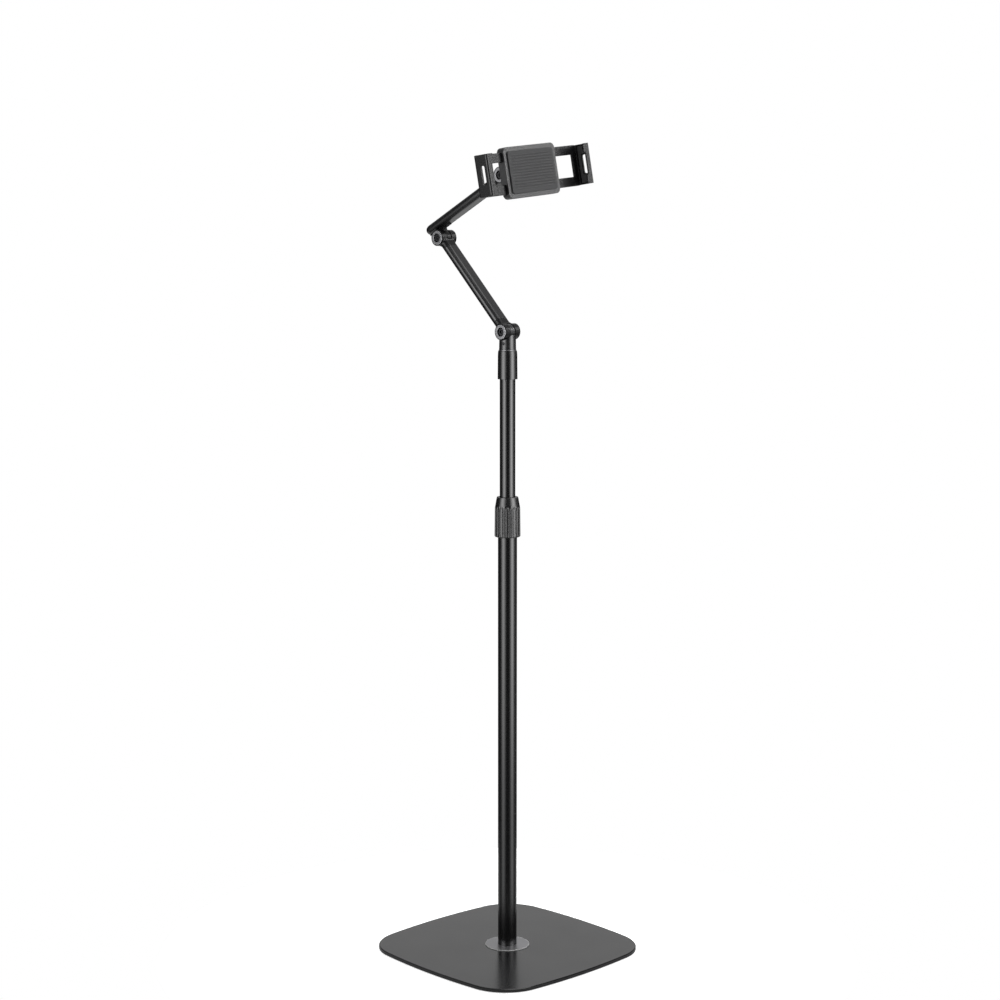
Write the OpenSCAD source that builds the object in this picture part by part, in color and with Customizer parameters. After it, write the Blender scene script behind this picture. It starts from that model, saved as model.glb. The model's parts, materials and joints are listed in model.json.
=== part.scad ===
// Floor stand: heavy base plate, telescopic pole with a twist lock, folding arm and two-jaw device holder.
// Millimetres, +Z up. The origin is the centre of the base's underside on the floor.
// The arm folds in the YZ plane, every arm pivot runs along X, and the holder faces -Y.

/* [Base] */
// Width of the base plate across the middle of its sides
base_w = 310; // [260:5:360]
// Thickness of the steel base plate
base_t = 5; // [4:0.5:8]
// Corner radius of the base plate
base_corner_r = 64; // [40:1:90]
// Radius of the slight outward bow of each side
base_bow_r = 840; // [600:20:3000]
// Chamfer along the upper edge of the plate
base_edge = 1; // [0.5:0.1:2]
// Thickness of the anti-slip mat
mat_t = 1; // [0.5:0.25:2]
// Distance from the plate's edge to the mat's edge
mat_inset = 3; // [1:0.5:8]
// Diameter of the thin disc round the foot of the pole
foot_disc_d = 63; // [45:1:80]
// Thickness of the foot disc
foot_disc_t = 1; // [0.5:0.25:2]
// Thread diameter of the base bolt
base_bolt_d = 8; // [6:1:10]
// Diameter of the countersunk head of the base bolt
base_bolt_head_d = 15; // [13:0.5:18]
// Height of the countersunk head
base_bolt_head_h = 3; // [2:0.25:3.5]
// Height of the steel plug in the foot of the pole
foot_plug_h = 24; // [18:1:40]

/* [Pole] */
// Outer diameter of the lower tube
lower_tube_d = 27; // [26.5:0.25:28]
// Wall of the lower tube
lower_tube_wall = 1.2; // [1:0.1:1.4]
// Length of the lower tube
lower_tube_l = 626; // [500:1:700]
// Outer diameter of the upper tube
upper_tube_d = 22; // [21:0.25:22.5]
// Wall of the upper tube
upper_tube_wall = 1.2; // [1:0.1:1.6]
// Length of the upper tube
upper_tube_l = 560; // [500:1:640]
// Length of the guide bush on the foot of the upper tube
guide_bush_l = 30; // [15:1:50]
// Length of the bush that stands below the tube's end
guide_bush_lip = 3; // [2:0.5:6]

/* [Twist lock] */
// Height of the lock collar
collar_h = 57; // [52:1:70]
// How far the collar reaches below the end of the lower tube
collar_below = 31; // [26:1:33]
// Height of the smooth cone at the top of the collar
collar_cone_h = 16.5; // [12:0.5:20]
// Collar diameter at the top of the cone
collar_top_d = 30.2; // [29:0.1:32]
// Collar diameter where the cone meets the grip
collar_grip_d = 36; // [35:0.2:40]
// Collar diameter at the foot of the grip
collar_foot_d = 36.9; // [36:0.1:42]
// Rounding of the collar's foot
collar_round = 2; // [1:0.25:2.5]
// Number of flutes round the grip
flute_count = 24; // [16:1:30]
// Radius of each flute
flute_r = 1.6; // [1:0.1:2]
// Depth of each flute at the top of the grip
flute_depth = 0.7; // [0.4:0.1:1]
// Outer diameter of the threaded ferrule on the lower tube
ferrule_d = 30; // [29.5:0.1:30.4]
// Height of the ferrule
ferrule_h = 22; // [14:1:24]
// Height of the clamping cone of the collet
collet_cone_h = 19; // [14:0.5:21]
// Diameter of the collet at the foot of its cone
collet_d = 28.6; // [28:0.1:29]
// Diameter of the collet at the top of its cone
collet_top_d = 25.2; // [24.6:0.1:25.6]
// Thickness of the collet's flange on the end of the tube
collet_flange_t = 3; // [2:0.25:4]
// Length of the collet's skirt inside the lower tube
collet_skirt_l = 26; // [15:1:40]
// Number of slits in the collet
slit_count = 4; // [3:1:6]
// Width of each slit
slit_w = 1.2; // [0.8:0.1:2]

/* [Sleeve and neck] */
// Height of the sleeve on top of the upper tube
sleeve_h = 40; // [34:1:60]
// Sleeve diameter at its lower edge
sleeve_d = 27.8; // [26.5:0.1:30]
// Sleeve diameter where its rounded shoulder starts
sleeve_top_d = 27.2; // [25.5:0.1:28]
// Height of the sleeve's rounded shoulder
sleeve_shoulder_h = 7.5; // [4:0.5:12]
// How far the shoulder draws in towards the upper edge
sleeve_shoulder_in = 0.5; // [0.2:0.1:1]
// Chamfer round the sleeve's upper edge
sleeve_edge = 0.6; // [0.3:0.1:1]
// Length of the tube inside the sleeve
sleeve_grip = 30; // [22:1:31]
// Diameter of the small stop pin under the sleeve
stop_pin_d = 2.8; // [2:0.1:4]
// How far the pin's round end stands out of the tube
stop_pin_out = 0.5; // [0.2:0.1:1]
// Direction of the stop pin round the pole, in degrees from +X
stop_pin_angle = 212; // [0:1:360]
// Thickness of the bright friction washer under the neck
swivel_washer_t = 1.2; // [0.8:0.1:2]
// Diameter of the friction washer
swivel_washer_d = 24.6; // [20:0.1:25]
// Diameter of the swivel stud
swivel_stud_d = 10; // [8:0.5:11]
// Height of the swivel stud above the washer
swivel_stud_h = 12; // [10:0.5:12.5]
// Depth of the retaining groove round the stud
stud_groove = 1; // [0.8:0.1:1.5]
// Neck diameter at its foot
neck_d = 23.8; // [23.4:0.1:25]
// Neck diameter at its upper end
neck_top_d = 23; // [22.8:0.1:24]
// Height from the neck's foot to the shoulder pivot
neck_h = 24.5; // [24:0.25:34]
// Depth of the shoulder below the pivot where the round neck ends
neck_drop = 4.2; // [4:0.1:11]
// Diameter of the neck's grub screw
neck_screw_d = 4; // [3:0.25:4.5]
// Length of the neck's grub screw
neck_screw_l = 6; // [4:0.25:6.5]
// Turn of the neck screw round the pole from the pivot's direction
neck_screw_turn = 15; // [0:5:45]
// Height of the swivel stud's head above its groove
stud_lip = 1.2; // [1:0.1:2]

/* [Arm] */
// Width of both arm bars, along the pivots
arm_w = 23.5; // [22:0.25:23.9]
// Thickness of both arm bars
arm_t = 12.6; // [10:0.2:13.5]
// Wall of the hollow arm bars
arm_wall = 2; // [1.5:0.25:3]
// Distance between the shoulder and the elbow pivots
lower_arm_l = 180; // [120:1:260]
// Distance along the upper arm from the elbow to the head pivot
upper_arm_l = 149; // [100:1:240]
// Distance from the elbow pivot to the middle of the upper arm
elbow_offset = 20.1; // [19.6:0.1:26]
// Length of the upper arm behind the elbow
arm_overhang = 23; // [23:0.5:40]
// Length of the plug that closes the upper arm
arm_plug_l = 5.3; // [5.1:0.1:5.3]
// Rounding of the upper arm's free end
arm_end_r = 5; // [1:0.25:5]
// Length of each spigot inside an arm bar
spigot_l = 12; // [6:1:20]
// Thickness of the foot of the elbow lug
lug_foot_t = 1.2; // [1:0.1:1.4]
// Length of the foot of the elbow lug
lug_foot_l = 37; // [35:1:40]
// Diameter of the screws that hold the lug
lug_screw_d = 3; // [2.5:0.25:3.5]

/* [Knuckles] */
// Diameter of the knuckles
knuckle_d = 22.8; // [21.5:0.1:23.2]
// Length of a knuckle
knuckle_l = 29.5; // [26:0.25:32]
// Bevel round both ends of a knuckle
knuckle_edge = 0.8; // [0.4:0.1:1]
// Diameter of the bright ring set into each end
cap_d = 20.4; // [18:0.1:20.6]
// Thickness of each bright ring
cap_t = 1.5; // [1:0.1:2]
// Bevel round each bright ring
cap_edge = 0.3; // [0.1:0.1:0.5]
// Distance from a pivot to the end of its fork casting
fork_l = 20; // [18:0.5:26]
// Bevel of the seam between a fork casting and its bar
seam = 0.6; // [0.3:0.1:1]
// Radius of the fillets between a knuckle and its arm
fork_fillet = 8; // [5:0.5:10]
// Thickness of the tongue between the ears
tongue_t = 7.4; // [6:0.2:8]
// Radius of the rounded tongue
tongue_r = 10.6; // [9.5:0.1:10.8]
// Width of the web that carries the tongue
tongue_web = 17; // [12:0.5:18]
// Thickness of the friction washers beside the tongue
pivot_washer_t = 0.8; // [0.5:0.1:1.2]
// Diameter of the friction washers
pivot_washer_d = 18; // [14:0.5:19]
// Diameter of the pivot bolts
pivot_d = 6; // [5:0.5:6]
// Diameter of the counterbore round the bolt head
counterbore_d = 12.6; // [12:0.1:14]
// Diameter of the bolt head
bolt_head_d = 10; // [9:0.25:11]
// Height of the bolt head and of the nut
bolt_head_h = 4; // [3:0.25:4.5]
// Width across the flats of the hexagon in the bolt head
hex_key = 5; // [4:0.5:6]
// Depth of the bolt head below the ring's face
head_recess = 1.5; // [0.5:0.1:2]
// Width across the flats of the nuts
nut_w = 10; // [9:0.25:10.5]

/* [Head] */
// Distance from the head pivot to the face of the swivel flange
head_reach = 35.5; // [28:0.1:45]
// Diameter of the swivel flange
head_flange_d = 32; // [26:0.5:34]
// Thickness of the swivel flange
head_flange_t = 5; // [3:0.25:6]
// Diameter of the stem behind the flange
head_stem_d = 20; // [16:0.5:22]
// Thickness of the friction pad on the flange
head_pad_t = 1; // [0.5:0.1:2]
// Diameter of the head's swivel stud
head_stud_d = 8; // [6:0.5:8]
// Length of the stud inside the stem
head_stud_grip = 9; // [6:0.5:10]
// Width across the flats of the stud's nut
head_nut_w = 13; // [12:0.25:14]
// Thickness of the stud's nut
head_nut_t = 4; // [3:0.25:4.4]

/* [Holder] */
// Width of the holder's housing
holder_w = 104; // [90:1:106]
// Height of the holder's housing
holder_h = 70; // [66:1:90]
// Corner radius of the housing
holder_corner_r = 8; // [4:0.5:14]
// Thickness of the housing's rear wall
holder_wall = 3.2; // [2.5:0.1:5]
// Thickness of the front plate
holder_front_t = 4; // [3.5:0.1:6]
// Thickness of the rubber pad on the front plate
holder_pad_t = 2; // [1:0.25:3]
// Distance from the plate's edge to the rubber pad
holder_pad_inset = 6; // [3:0.5:12]
// Number of grooves across the rubber pad
pad_groove_count = 6; // [2:2:8]
// Width of each groove in the rubber pad
pad_groove_w = 2; // [1:0.25:3]
// Depth of each groove in the rubber pad
pad_groove_depth = 0.8; // [0.3:0.1:0.9]
// Diameter of the screws that close the housing
holder_screw_d = 3; // [2.5:0.25:4]
// Distance of the housing screws from the middle, across
holder_screw_x = 42; // [30:1:43]
// Distance of the housing screws from the middle, up and down
holder_screw_z = 8; // [6:0.5:9]
// Diameter of the guide pin and of the clamp screw
guide_pin_d = 6; // [5:0.5:6]
// Diameter of the clamp knob
knob_d = 18; // [14:0.5:20]
// Thickness of the clamp knob
knob_t = 7; // [5:0.5:8]
// Number of flutes round the clamp knob
knob_flutes = 8; // [6:1:12]
// Diameter of the hub under the clamp knob
knob_hub_d = 9; // [8:0.5:11]

/* [Jaws] */
// Height of the jaws
jaw_h = 56; // [56:1:80]
// Depth of the jaw's side plate from its back to the lip's face
jaw_depth = 24.5; // [21:0.5:40]
// Thickness of the jaw's sheet metal
sheet_t = 2; // [1.5:0.1:2.5]
// Outer radius of the folds in the sheet
fold_r = 3; // [2.6:0.1:4]
// Width of the lip at its ends
lip_w = 12.8; // [10:0.2:18]
// Width of the lip's waist
lip_waist = 9; // [6:0.2:9.8]
// Length of the lip's waist
lip_waist_l = 29; // [20:1:36]
// Length of the slope between waist and end
lip_slope = 3; // [1:0.5:5]
// Rounding of the lip's corners
lip_corner_r = 2.5; // [1:0.25:4]
// Length of the slot in the side plate
side_slot_l = 26; // [15:1:40]
// Width of the slot in the side plate
side_slot_w = 7; // [3:0.25:8]
// Distance from the lip's face to the middle of the slot
side_slot_inset = 10.7; // [9:0.1:13]
// Width of the full-height flange behind the device
rear_flange_w = 12; // [10:0.5:13]
// Height of each sliding strap
strap_h = 13; // [11:0.5:14]
// Distance of the straps from the middle, up and down
strap_z = 22; // [21:0.25:23]
// Travel of each jaw inwards from the shown opening
jaw_travel_in = 38; // [20:1:38]
// Travel of each jaw outwards from the shown opening
jaw_travel_out = 5; // [2:1:8]
// Thickness of the rubber lining in the jaws
lining_t = 1.5; // [1:0.1:2]

/* [Pose shown] */
// Length of upper tube between the collar and the sleeve
extension = 166; // [100:1:340]
// Backward lean of the lower arm from upright, in degrees
lower_lean = 44.1; // [20:0.1:70]
// Rise of the upper arm from level, in degrees
upper_rise = 27.6; // [0:0.1:60]
// Upward tilt of the holder, in degrees
holder_pitch = 6.75; // [-30:0.25:45]
// Roll of the holder about the swivel, in degrees
holder_roll = -5.5; // [-30:0.1:30]
// Turn of the base plate under the arm, in degrees
base_turn = -2.7; // [-45:0.1:45]
// Opening between the outer faces of the jaws
jaw_open = 209; // [206:1:225]

/* [Fits] */
// Radial clearance of a sliding tube or bush
slide_gap = 0.1; // [0.05:0.01:0.1]
// Radial clearance of a pivot bolt or stud
pin_gap = 0.05; // [0.02:0.01:0.1]
// Radial clearance of a piece that stays in its seat
seat_gap = 0.05; // [0.02:0.01:0.1]
// Clearance between pieces that move past each other
move_gap = 0.3; // [0.25:0.05:0.4]
// Wider clearance round threads and knuckles
wide_gap = 0.5; // [0.4:0.05:0.6]

/* [Hidden] */
$fn = 72;
// Overshoot of a cut beyond the face it opens
cut = 1;

// Heights up the pole
plate_z = mat_t;
disc_z = plate_z + base_t;
tube_z = disc_z + foot_disc_t;
tube_top = tube_z + lower_tube_l;
collar_z = tube_top - collar_below;
collar_top = collar_z + collar_h;
grip_top = collar_top - collar_cone_h;
sleeve_z = collar_top + extension;
sleeve_top = sleeve_z + sleeve_h;
upper_tube_top = sleeve_z + sleeve_grip;
upper_tube_z = upper_tube_top - upper_tube_l;
washer_top = sleeve_top + swivel_washer_t;
neck_z = washer_top + move_gap;
shoulder_z = neck_z + neck_h;
stud_top = washer_top + swivel_stud_h;
stud_groove_h = neck_screw_d + 2 * wide_gap;
neck_screw_z = neck_z + swivel_stud_h - stud_lip - stud_groove_h / 2;

// Bores of the tubes
lower_bore_d = lower_tube_d - 2 * lower_tube_wall;
upper_bore_d = upper_tube_d - 2 * upper_tube_wall;
collet_bore_d = upper_tube_d + 2 * slide_gap;

// Knuckle sizes along the pivot, from its middle
washer_x = tongue_t / 2 + move_gap;
ear_x = washer_x + pivot_washer_t;
cap_x = knuckle_l / 2 - cap_t;
head_x = knuckle_l / 2 - head_recess;
seat_x = head_x - bolt_head_h;
fork_slot_r = tongue_r + 2 * wide_gap;
hex_round = 1 / cos(30);

// Fillet between a knuckle and its arm: where it starts on the bar and where it leaves the knuckle
fillet_reach = knuckle_d / 2 + fork_fillet;
fillet_z = sqrt(pow(fillet_reach, 2) - pow(arm_t / 2 + fork_fillet, 2));
fillet_end_z = fillet_z * knuckle_d / 2 / fillet_reach;

// Depths in the holder, measured forwards from the head pivot
back_d = head_reach + head_pad_t + move_gap;
channel_d = back_d + holder_wall;
right_strap_d = channel_d + move_gap;
left_strap_d = right_strap_d + sheet_t + move_gap;
front_d = left_strap_d + sheet_t + move_gap;
pad_d = front_d + holder_front_t;
lip_d = left_strap_d + jaw_depth;
knob_end_d = back_d - move_gap;
knob_d1 = head_reach - head_flange_t - 4 * move_gap;
knob_d0 = knob_d1 - knob_t;
slot_w = guide_pin_d + 2 * wide_gap;
strap_inner_x = jaw_travel_out + slot_w;
strap_clear = move_gap + 0.1;

// Colours
black_paint = "#252527";
black_metal = "#1d1d1f";
black_plastic = "#2c2c2e";
grey_plastic = "#47474a";
rubber = "#333335";
bright_metal = "#a9a9ab";
zinc = "#8d8d90";
black_oxide = "#2c2c2e";
nylon = "#c9c9c4";

// Points and outlines

function turned(p, a) = [p[0] * cos(a) - p[1] * sin(a), p[0] * sin(a) + p[1] * cos(a)];

function arc(centre, r, a0, a1, steps) =
    [for (i = [0 : steps]) centre + r * [cos(a0 + (a1 - a0) * i / steps), sin(a0 + (a1 - a0) * i / steps)]];

// A square with bowed sides and round corners, drawn in by an inset
module base_outline(inset) {
    bow = base_bow_r - inset;
    round_r = base_corner_r - inset;
    bow_c = base_bow_r - base_w / 2;
    corner_c = (sqrt(2 * pow(bow - round_r, 2) - pow(bow_c, 2)) - bow_c) / 2;
    side_a = atan2(corner_c, corner_c + bow_c);
    quarter = concat(
        arc([-bow_c, 0], bow, -side_a, side_a, 8),
        arc([corner_c, corner_c], round_r, side_a, 90 - side_a, 18)
    );
    polygon([for (q = [0 : 3], i = [0 : len(quarter) - 2]) turned(quarter[i], 90 * q)]);
}

module stadium(w, t) {
    square([w - t, t], center = true);
    for (side = [-1, 1])
        translate([side * (w - t) / 2, 0]) circle(d = t);
}

module rounded(w, h, r) {
    square([w - 2 * r, h], center = true);
    square([w, h - 2 * r], center = true);
    for (x = [-1, 1], y = [-1, 1])
        translate([x * (w / 2 - r), y * (h / 2 - r)]) circle(r);
}

// A round bar along the pivot, between two distances from its middle
module pivot_rod(d, x0, x1) {
    translate([x0, 0, 0]) rotate([0, 90, 0]) cylinder(d = d, h = x1 - x0);
}

module hex_rod(w, x0, x1) {
    translate([x0, 0, 0]) rotate([0, 90, 0]) cylinder(d = w * hex_round, h = x1 - x0, $fn = 6);
}

// A tube standing on the XY plane
module ring(d, bore, h) {
    difference() {
        cylinder(d = d, h = h);
        translate([0, 0, -cut]) cylinder(d = bore, h = h + 2 * cut);
    }
}

// Places in the assembly

module at_shoulder() {
    translate([0, 0, shoulder_z]) rotate([-lower_lean, 0, 0]) children();
}

module at_elbow() {
    at_shoulder() translate([0, 0, lower_arm_l]) rotate([lower_lean + 90 - upper_rise, 0, 0]) children();
}

module at_head() {
    at_elbow() translate([0, elbow_offset, upper_arm_l]) children();
}

module at_tilt() {
    at_head() rotate([upper_rise - 90 - holder_pitch, 0, 0]) children();
}

module at_holder() {
    at_tilt() rotate([0, holder_roll, 0]) children();
}

// An outline in the holder's plane, drawn forwards between two depths
module in_depth(d0, d1) {
    translate([0, -d0, 0]) rotate([90, 0, 0]) linear_extrude(d1 - d0) children();
}

// Shared knuckle pieces, with the pivot along X at the origin

module pivot_bore() {
    pivot_rod(pivot_d + 2 * pin_gap, -knuckle_l, knuckle_l);
}

// A tongue that runs up +Z from the pivot
module tongue(reach) {
    difference() {
        union() {
            pivot_rod(2 * tongue_r, -tongue_t / 2, tongue_t / 2);
            translate([-tongue_t / 2, -tongue_web / 2, 0]) cube([tongue_t, tongue_web, reach]);
        }
        pivot_bore();
    }
}

function section(half_w, half_t, r, z) = [
    for (q = [0 : 3], i = [0 : 8])
        let (sx = q == 0 || q == 3 ? 1 : -1, sy = q < 2 ? 1 : -1, a = 90 * (q + i / 8))
        [sx * (half_w - r) + r * cos(a), sy * (half_t - r) + r * sin(a), z]
];

// A solid skinned over a stack of sections
module loft(sections) {
    count = len(sections[0]);
    last = len(sections) - 1;
    sides = [
        for (k = [0 : last - 1], j = [0 : count - 1])
            [k * count + j, (k + 1) * count + j, (k + 1) * count + (j + 1) % count, k * count + (j + 1) % count]
    ];
    foot = [for (j = [0 : count - 1]) j];
    crown = [for (j = [0 : count - 1]) last * count + count - 1 - j];
    polyhedron([for (s = sections) each s], concat(sides, [foot, crown]), convexity = 4);
}

// The root of a fork: the bar's own section at its end, flaring through fillets into the knuckle
module fork_root() {
    steps = 6;
    inner_half = knuckle_l / 2 - knuckle_edge - 0.2;
    flare = [
        for (i = [0 : steps])
            let (
                z = fillet_end_z + (fillet_z - fillet_end_z) * i / steps,
                half_t = arm_t / 2 + fork_fillet - sqrt(pow(fork_fillet, 2) - pow(fillet_z - z, 2)),
                half_w = inner_half + (arm_w / 2 - inner_half) * i / steps,
                r = (arm_t / 2 - 0.05) * (0.7 + 0.3 * i / steps)
            )
            section(half_w, half_t, r, z)
    ];
    buried = section(inner_half, knuckle_d * 0.34, arm_t * 0.3, fillet_end_z * 0.6);
    bar_end = section(arm_w / 2, arm_t / 2, arm_t / 2 - 0.05, fork_l - seam);
    seat_end = section(arm_w / 2 - seam, arm_t / 2 - seam, arm_t / 2 - seam - 0.05, fork_l);
    loft(concat([buried], flare, [bar_end, seat_end]));
}

// The round body of a knuckle, bevelled at both ends
module barrel() {
    half = knuckle_l / 2;
    r = knuckle_d / 2;
    rotate([0, 90, 0])
        rotate_extrude()
        polygon([
            [0, -half], [r - knuckle_edge, -half], [r, knuckle_edge - half],
            [r, half - knuckle_edge], [r - knuckle_edge, half], [0, half]
        ]);
}

// A fork with two ears round the tongue, and a spigot for the arm bar above it
module fork() {
    difference() {
        union() {
            barrel();
            fork_root();
            translate([0, 0, fork_l - cut])
                linear_extrude(spigot_l + cut)
                stadium(arm_w - 2 * arm_wall - 2 * seat_gap, arm_t - 2 * arm_wall - 2 * seat_gap);
        }
        pivot_rod(2 * fork_slot_r, -ear_x, ear_x);
        translate([-ear_x, -knuckle_d, -knuckle_d]) cube([2 * ear_x, 2 * knuckle_d, knuckle_d]);
        pivot_bore();
        for (side = [0, 1])
            mirror([side, 0, 0]) {
                pivot_rod(counterbore_d, seat_x, knuckle_l);
                pivot_rod(cap_d + 2 * seat_gap, cap_x, knuckle_l);
            }
    }
}

module pivot_bolt() {
    difference() {
        union() {
            pivot_rod(bolt_head_d, -head_x, -seat_x);
            pivot_rod(pivot_d, -seat_x - cut, head_x);
        }
        hex_rod(hex_key, -head_x - cut, -head_x + bolt_head_h / 2);
    }
}

module pivot_nut() {
    difference() {
        hex_rod(nut_w, seat_x, head_x);
        pivot_rod(pivot_d + 2 * seat_gap, seat_x - cut, head_x + cut);
    }
}

// Bright rings set into both ends of a knuckle
module pivot_caps() {
    for (side = [0, 1])
        mirror([side, 0, 0])
        rotate([0, 90, 0])
        rotate_extrude()
        polygon([
            [counterbore_d / 2, cap_x], [cap_d / 2, cap_x], [cap_d / 2, knuckle_l / 2 - cap_edge],
            [cap_d / 2 - cap_edge, knuckle_l / 2], [counterbore_d / 2, knuckle_l / 2]
        ]);
}

module pivot_washers() {
    for (side = [0, 1])
        mirror([side, 0, 0])
        translate([washer_x, 0, 0])
        rotate([0, 90, 0])
        ring(pivot_washer_d, pivot_d + 2 * seat_gap, pivot_washer_t);
}

// A hollow arm bar along +Z
module arm_bar(z0, z1) {
    translate([0, 0, z0])
        linear_extrude(z1 - z0)
        difference() {
            stadium(arm_w, arm_t);
            stadium(arm_w - 2 * arm_wall, arm_t - 2 * arm_wall);
        }
}

// Base and pole

module base_plate() {
    color(black_paint)
    rotate(base_turn)
    difference() {
        union() {
            translate([0, 0, plate_z]) linear_extrude(base_t - base_edge) base_outline(0);
            translate([0, 0, disc_z - base_edge])
                linear_extrude(base_edge, scale = 1 - 2 * base_edge / base_w)
                base_outline(0);
        }
        translate([0, 0, plate_z - cut]) cylinder(d = base_bolt_d + 2 * move_gap, h = base_t + 2 * cut);
        translate([0, 0, plate_z])
            cylinder(
                d1 = base_bolt_head_d + 2 * seat_gap,
                d2 = base_bolt_d + 2 * seat_gap,
                h = base_bolt_head_h
            );
    }
}

module base_mat() {
    color(rubber)
    rotate(base_turn)
    linear_extrude(mat_t)
    base_outline(mat_inset);
}

module base_bolt() {
    color(zinc)
    difference() {
        union() {
            translate([0, 0, plate_z]) cylinder(d1 = base_bolt_head_d, d2 = base_bolt_d, h = base_bolt_head_h);
            translate([0, 0, plate_z + base_bolt_head_h / 2])
                cylinder(d = base_bolt_d, h = tube_z + foot_plug_h - plate_z - base_bolt_head_h);
        }
        translate([0, 0, plate_z - cut])
            cylinder(d = hex_key * hex_round, h = cut + base_bolt_head_h * 0.7, $fn = 6);
    }
}

module foot_disc() {
    color(bright_metal)
    translate([0, 0, disc_z])
    ring(foot_disc_d, base_bolt_d + 2 * move_gap, foot_disc_t);
}

module foot_plug() {
    color(zinc)
    translate([0, 0, tube_z])
    ring(lower_bore_d - 2 * seat_gap, base_bolt_d + 2 * seat_gap, foot_plug_h);
}

module lower_tube() {
    color(black_metal)
    translate([0, 0, tube_z])
    ring(lower_tube_d, lower_bore_d, lower_tube_l);
}

// Twist lock

module tube_ferrule() {
    color(black_plastic)
    translate([0, 0, tube_top - ferrule_h])
    ring(ferrule_d, lower_tube_d + 2 * seat_gap, ferrule_h);
}

module collet() {
    flange_top = tube_top + collet_flange_t;
    color(grey_plastic)
    difference() {
        union() {
            translate([0, 0, tube_top - collet_skirt_l])
                cylinder(d = lower_bore_d - 2 * seat_gap, h = collet_skirt_l + cut);
            translate([0, 0, tube_top]) cylinder(d = ferrule_d - 2 * seat_gap, h = collet_flange_t);
            translate([0, 0, flange_top]) cylinder(d1 = collet_d, d2 = collet_top_d, h = collet_cone_h);
        }
        translate([0, 0, tube_top - collet_skirt_l - cut])
            cylinder(d = collet_bore_d, h = collet_skirt_l + collet_flange_t + collet_cone_h + 2 * cut);
        for (i = [0 : slit_count - 1])
            rotate(360 * i / slit_count)
            translate([0, -slit_w / 2, flange_top])
            cube([ferrule_d, slit_w, collet_cone_h + cut]);
    }
}

module lock_collar() {
    thread_r = ferrule_d / 2 + move_gap;
    seat_z = tube_top + collet_flange_t + move_gap;
    cone_z = tube_top + collet_flange_t + collet_cone_h;
    outside = concat(
        arc([collar_foot_d / 2 - collar_round, collar_z + collar_round], collar_round, -90, 0, 6),
        [[collar_grip_d / 2, grip_top], [collar_top_d / 2, collar_top]]
    );
    inside = [
        [upper_tube_d / 2 + wide_gap, collar_top],
        [upper_tube_d / 2 + wide_gap, cone_z + wide_gap],
        [collet_top_d / 2 + wide_gap, cone_z + wide_gap],
        [collet_d / 2 + wide_gap, seat_z],
        [thread_r, seat_z],
        [thread_r, tube_top - ferrule_h - move_gap],
        [lower_tube_d / 2 + wide_gap, tube_top - ferrule_h - move_gap],
        [lower_tube_d / 2 + wide_gap, collar_z]
    ];
    color(black_plastic)
    difference() {
        rotate_extrude() polygon(concat(outside, inside));
        for (i = [0 : flute_count - 1])
            rotate(360 * i / flute_count)
            translate([collar_grip_d / 2 - flute_depth + flute_r, 0, collar_z - cut])
            cylinder(r = flute_r, h = collar_h, $fn = 24);
    }
}

module upper_tube() {
    color(black_metal)
    difference() {
        translate([0, 0, upper_tube_z]) ring(upper_tube_d, upper_bore_d, upper_tube_l);
        at_stop_pin() pivot_rod(stop_pin_d + 2 * seat_gap, upper_bore_d / 4, upper_tube_d);
    }
}

// Bush pushed into the foot of the upper tube, with a rim that runs in the lower tube
module guide_bush() {
    color(grey_plastic)
    translate([0, 0, upper_tube_z])
    difference() {
        union() {
            translate([0, 0, -guide_bush_lip]) cylinder(d = lower_bore_d - 2 * slide_gap, h = guide_bush_lip);
            translate([0, 0, -cut]) cylinder(d = upper_bore_d - 2 * seat_gap, h = guide_bush_l + cut);
        }
        translate([0, 0, -guide_bush_lip - cut])
            cylinder(d = upper_bore_d - 4 * upper_tube_wall, h = guide_bush_l + guide_bush_lip + 2 * cut);
    }
}

// Sleeve, swivel and neck

// Sleeve with a slight taper and a rounded shoulder
module top_sleeve() {
    top_r = sleeve_top_d / 2;
    shoulder = [
        for (i = [0 : 5])
            [top_r - sleeve_shoulder_in * pow(i / 5, 2), sleeve_h - sleeve_edge - sleeve_shoulder_h * (1 - i / 5)]
    ];
    color(black_plastic)
    translate([0, 0, sleeve_z])
    rotate_extrude()
        polygon(concat(
            [[upper_tube_d / 2 + seat_gap, 0], [sleeve_d / 2, 0]],
            shoulder,
            [
                [top_r - sleeve_shoulder_in - sleeve_edge, sleeve_h], [swivel_stud_d / 2 + seat_gap, sleeve_h],
                [swivel_stud_d / 2 + seat_gap, sleeve_grip], [upper_tube_d / 2 + seat_gap, sleeve_grip]
            ]
        ));
}

// Place of the stop pin, with the pin along X
module at_stop_pin() {
    translate([0, 0, sleeve_z - stop_pin_d / 2 - seat_gap]) rotate(stop_pin_angle) children();
}

module stop_pin() {
    color(black_oxide)
    at_stop_pin()
    pivot_rod(stop_pin_d, upper_bore_d / 2, upper_tube_d / 2 + stop_pin_out);
}

module swivel_washer() {
    color(bright_metal)
    translate([0, 0, sleeve_top])
    ring(swivel_washer_d, swivel_stud_d + 2 * seat_gap, swivel_washer_t);
}

// Stud with a flange inside the sleeve and a groove that the neck's grub screw runs in
module swivel_stud() {
    flange_t = 3;
    color(zinc)
    difference() {
        union() {
            translate([0, 0, upper_tube_top - flange_t])
                cylinder(d = upper_bore_d - 4 * wide_gap, h = flange_t);
            translate([0, 0, upper_tube_top - cut]) cylinder(d = swivel_stud_d, h = stud_top - upper_tube_top + cut);
        }
        translate([0, 0, neck_screw_z - stud_groove_h / 2])
            ring(2 * swivel_stud_d, swivel_stud_d - 2 * stud_groove, stud_groove_h);
    }
}

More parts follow.
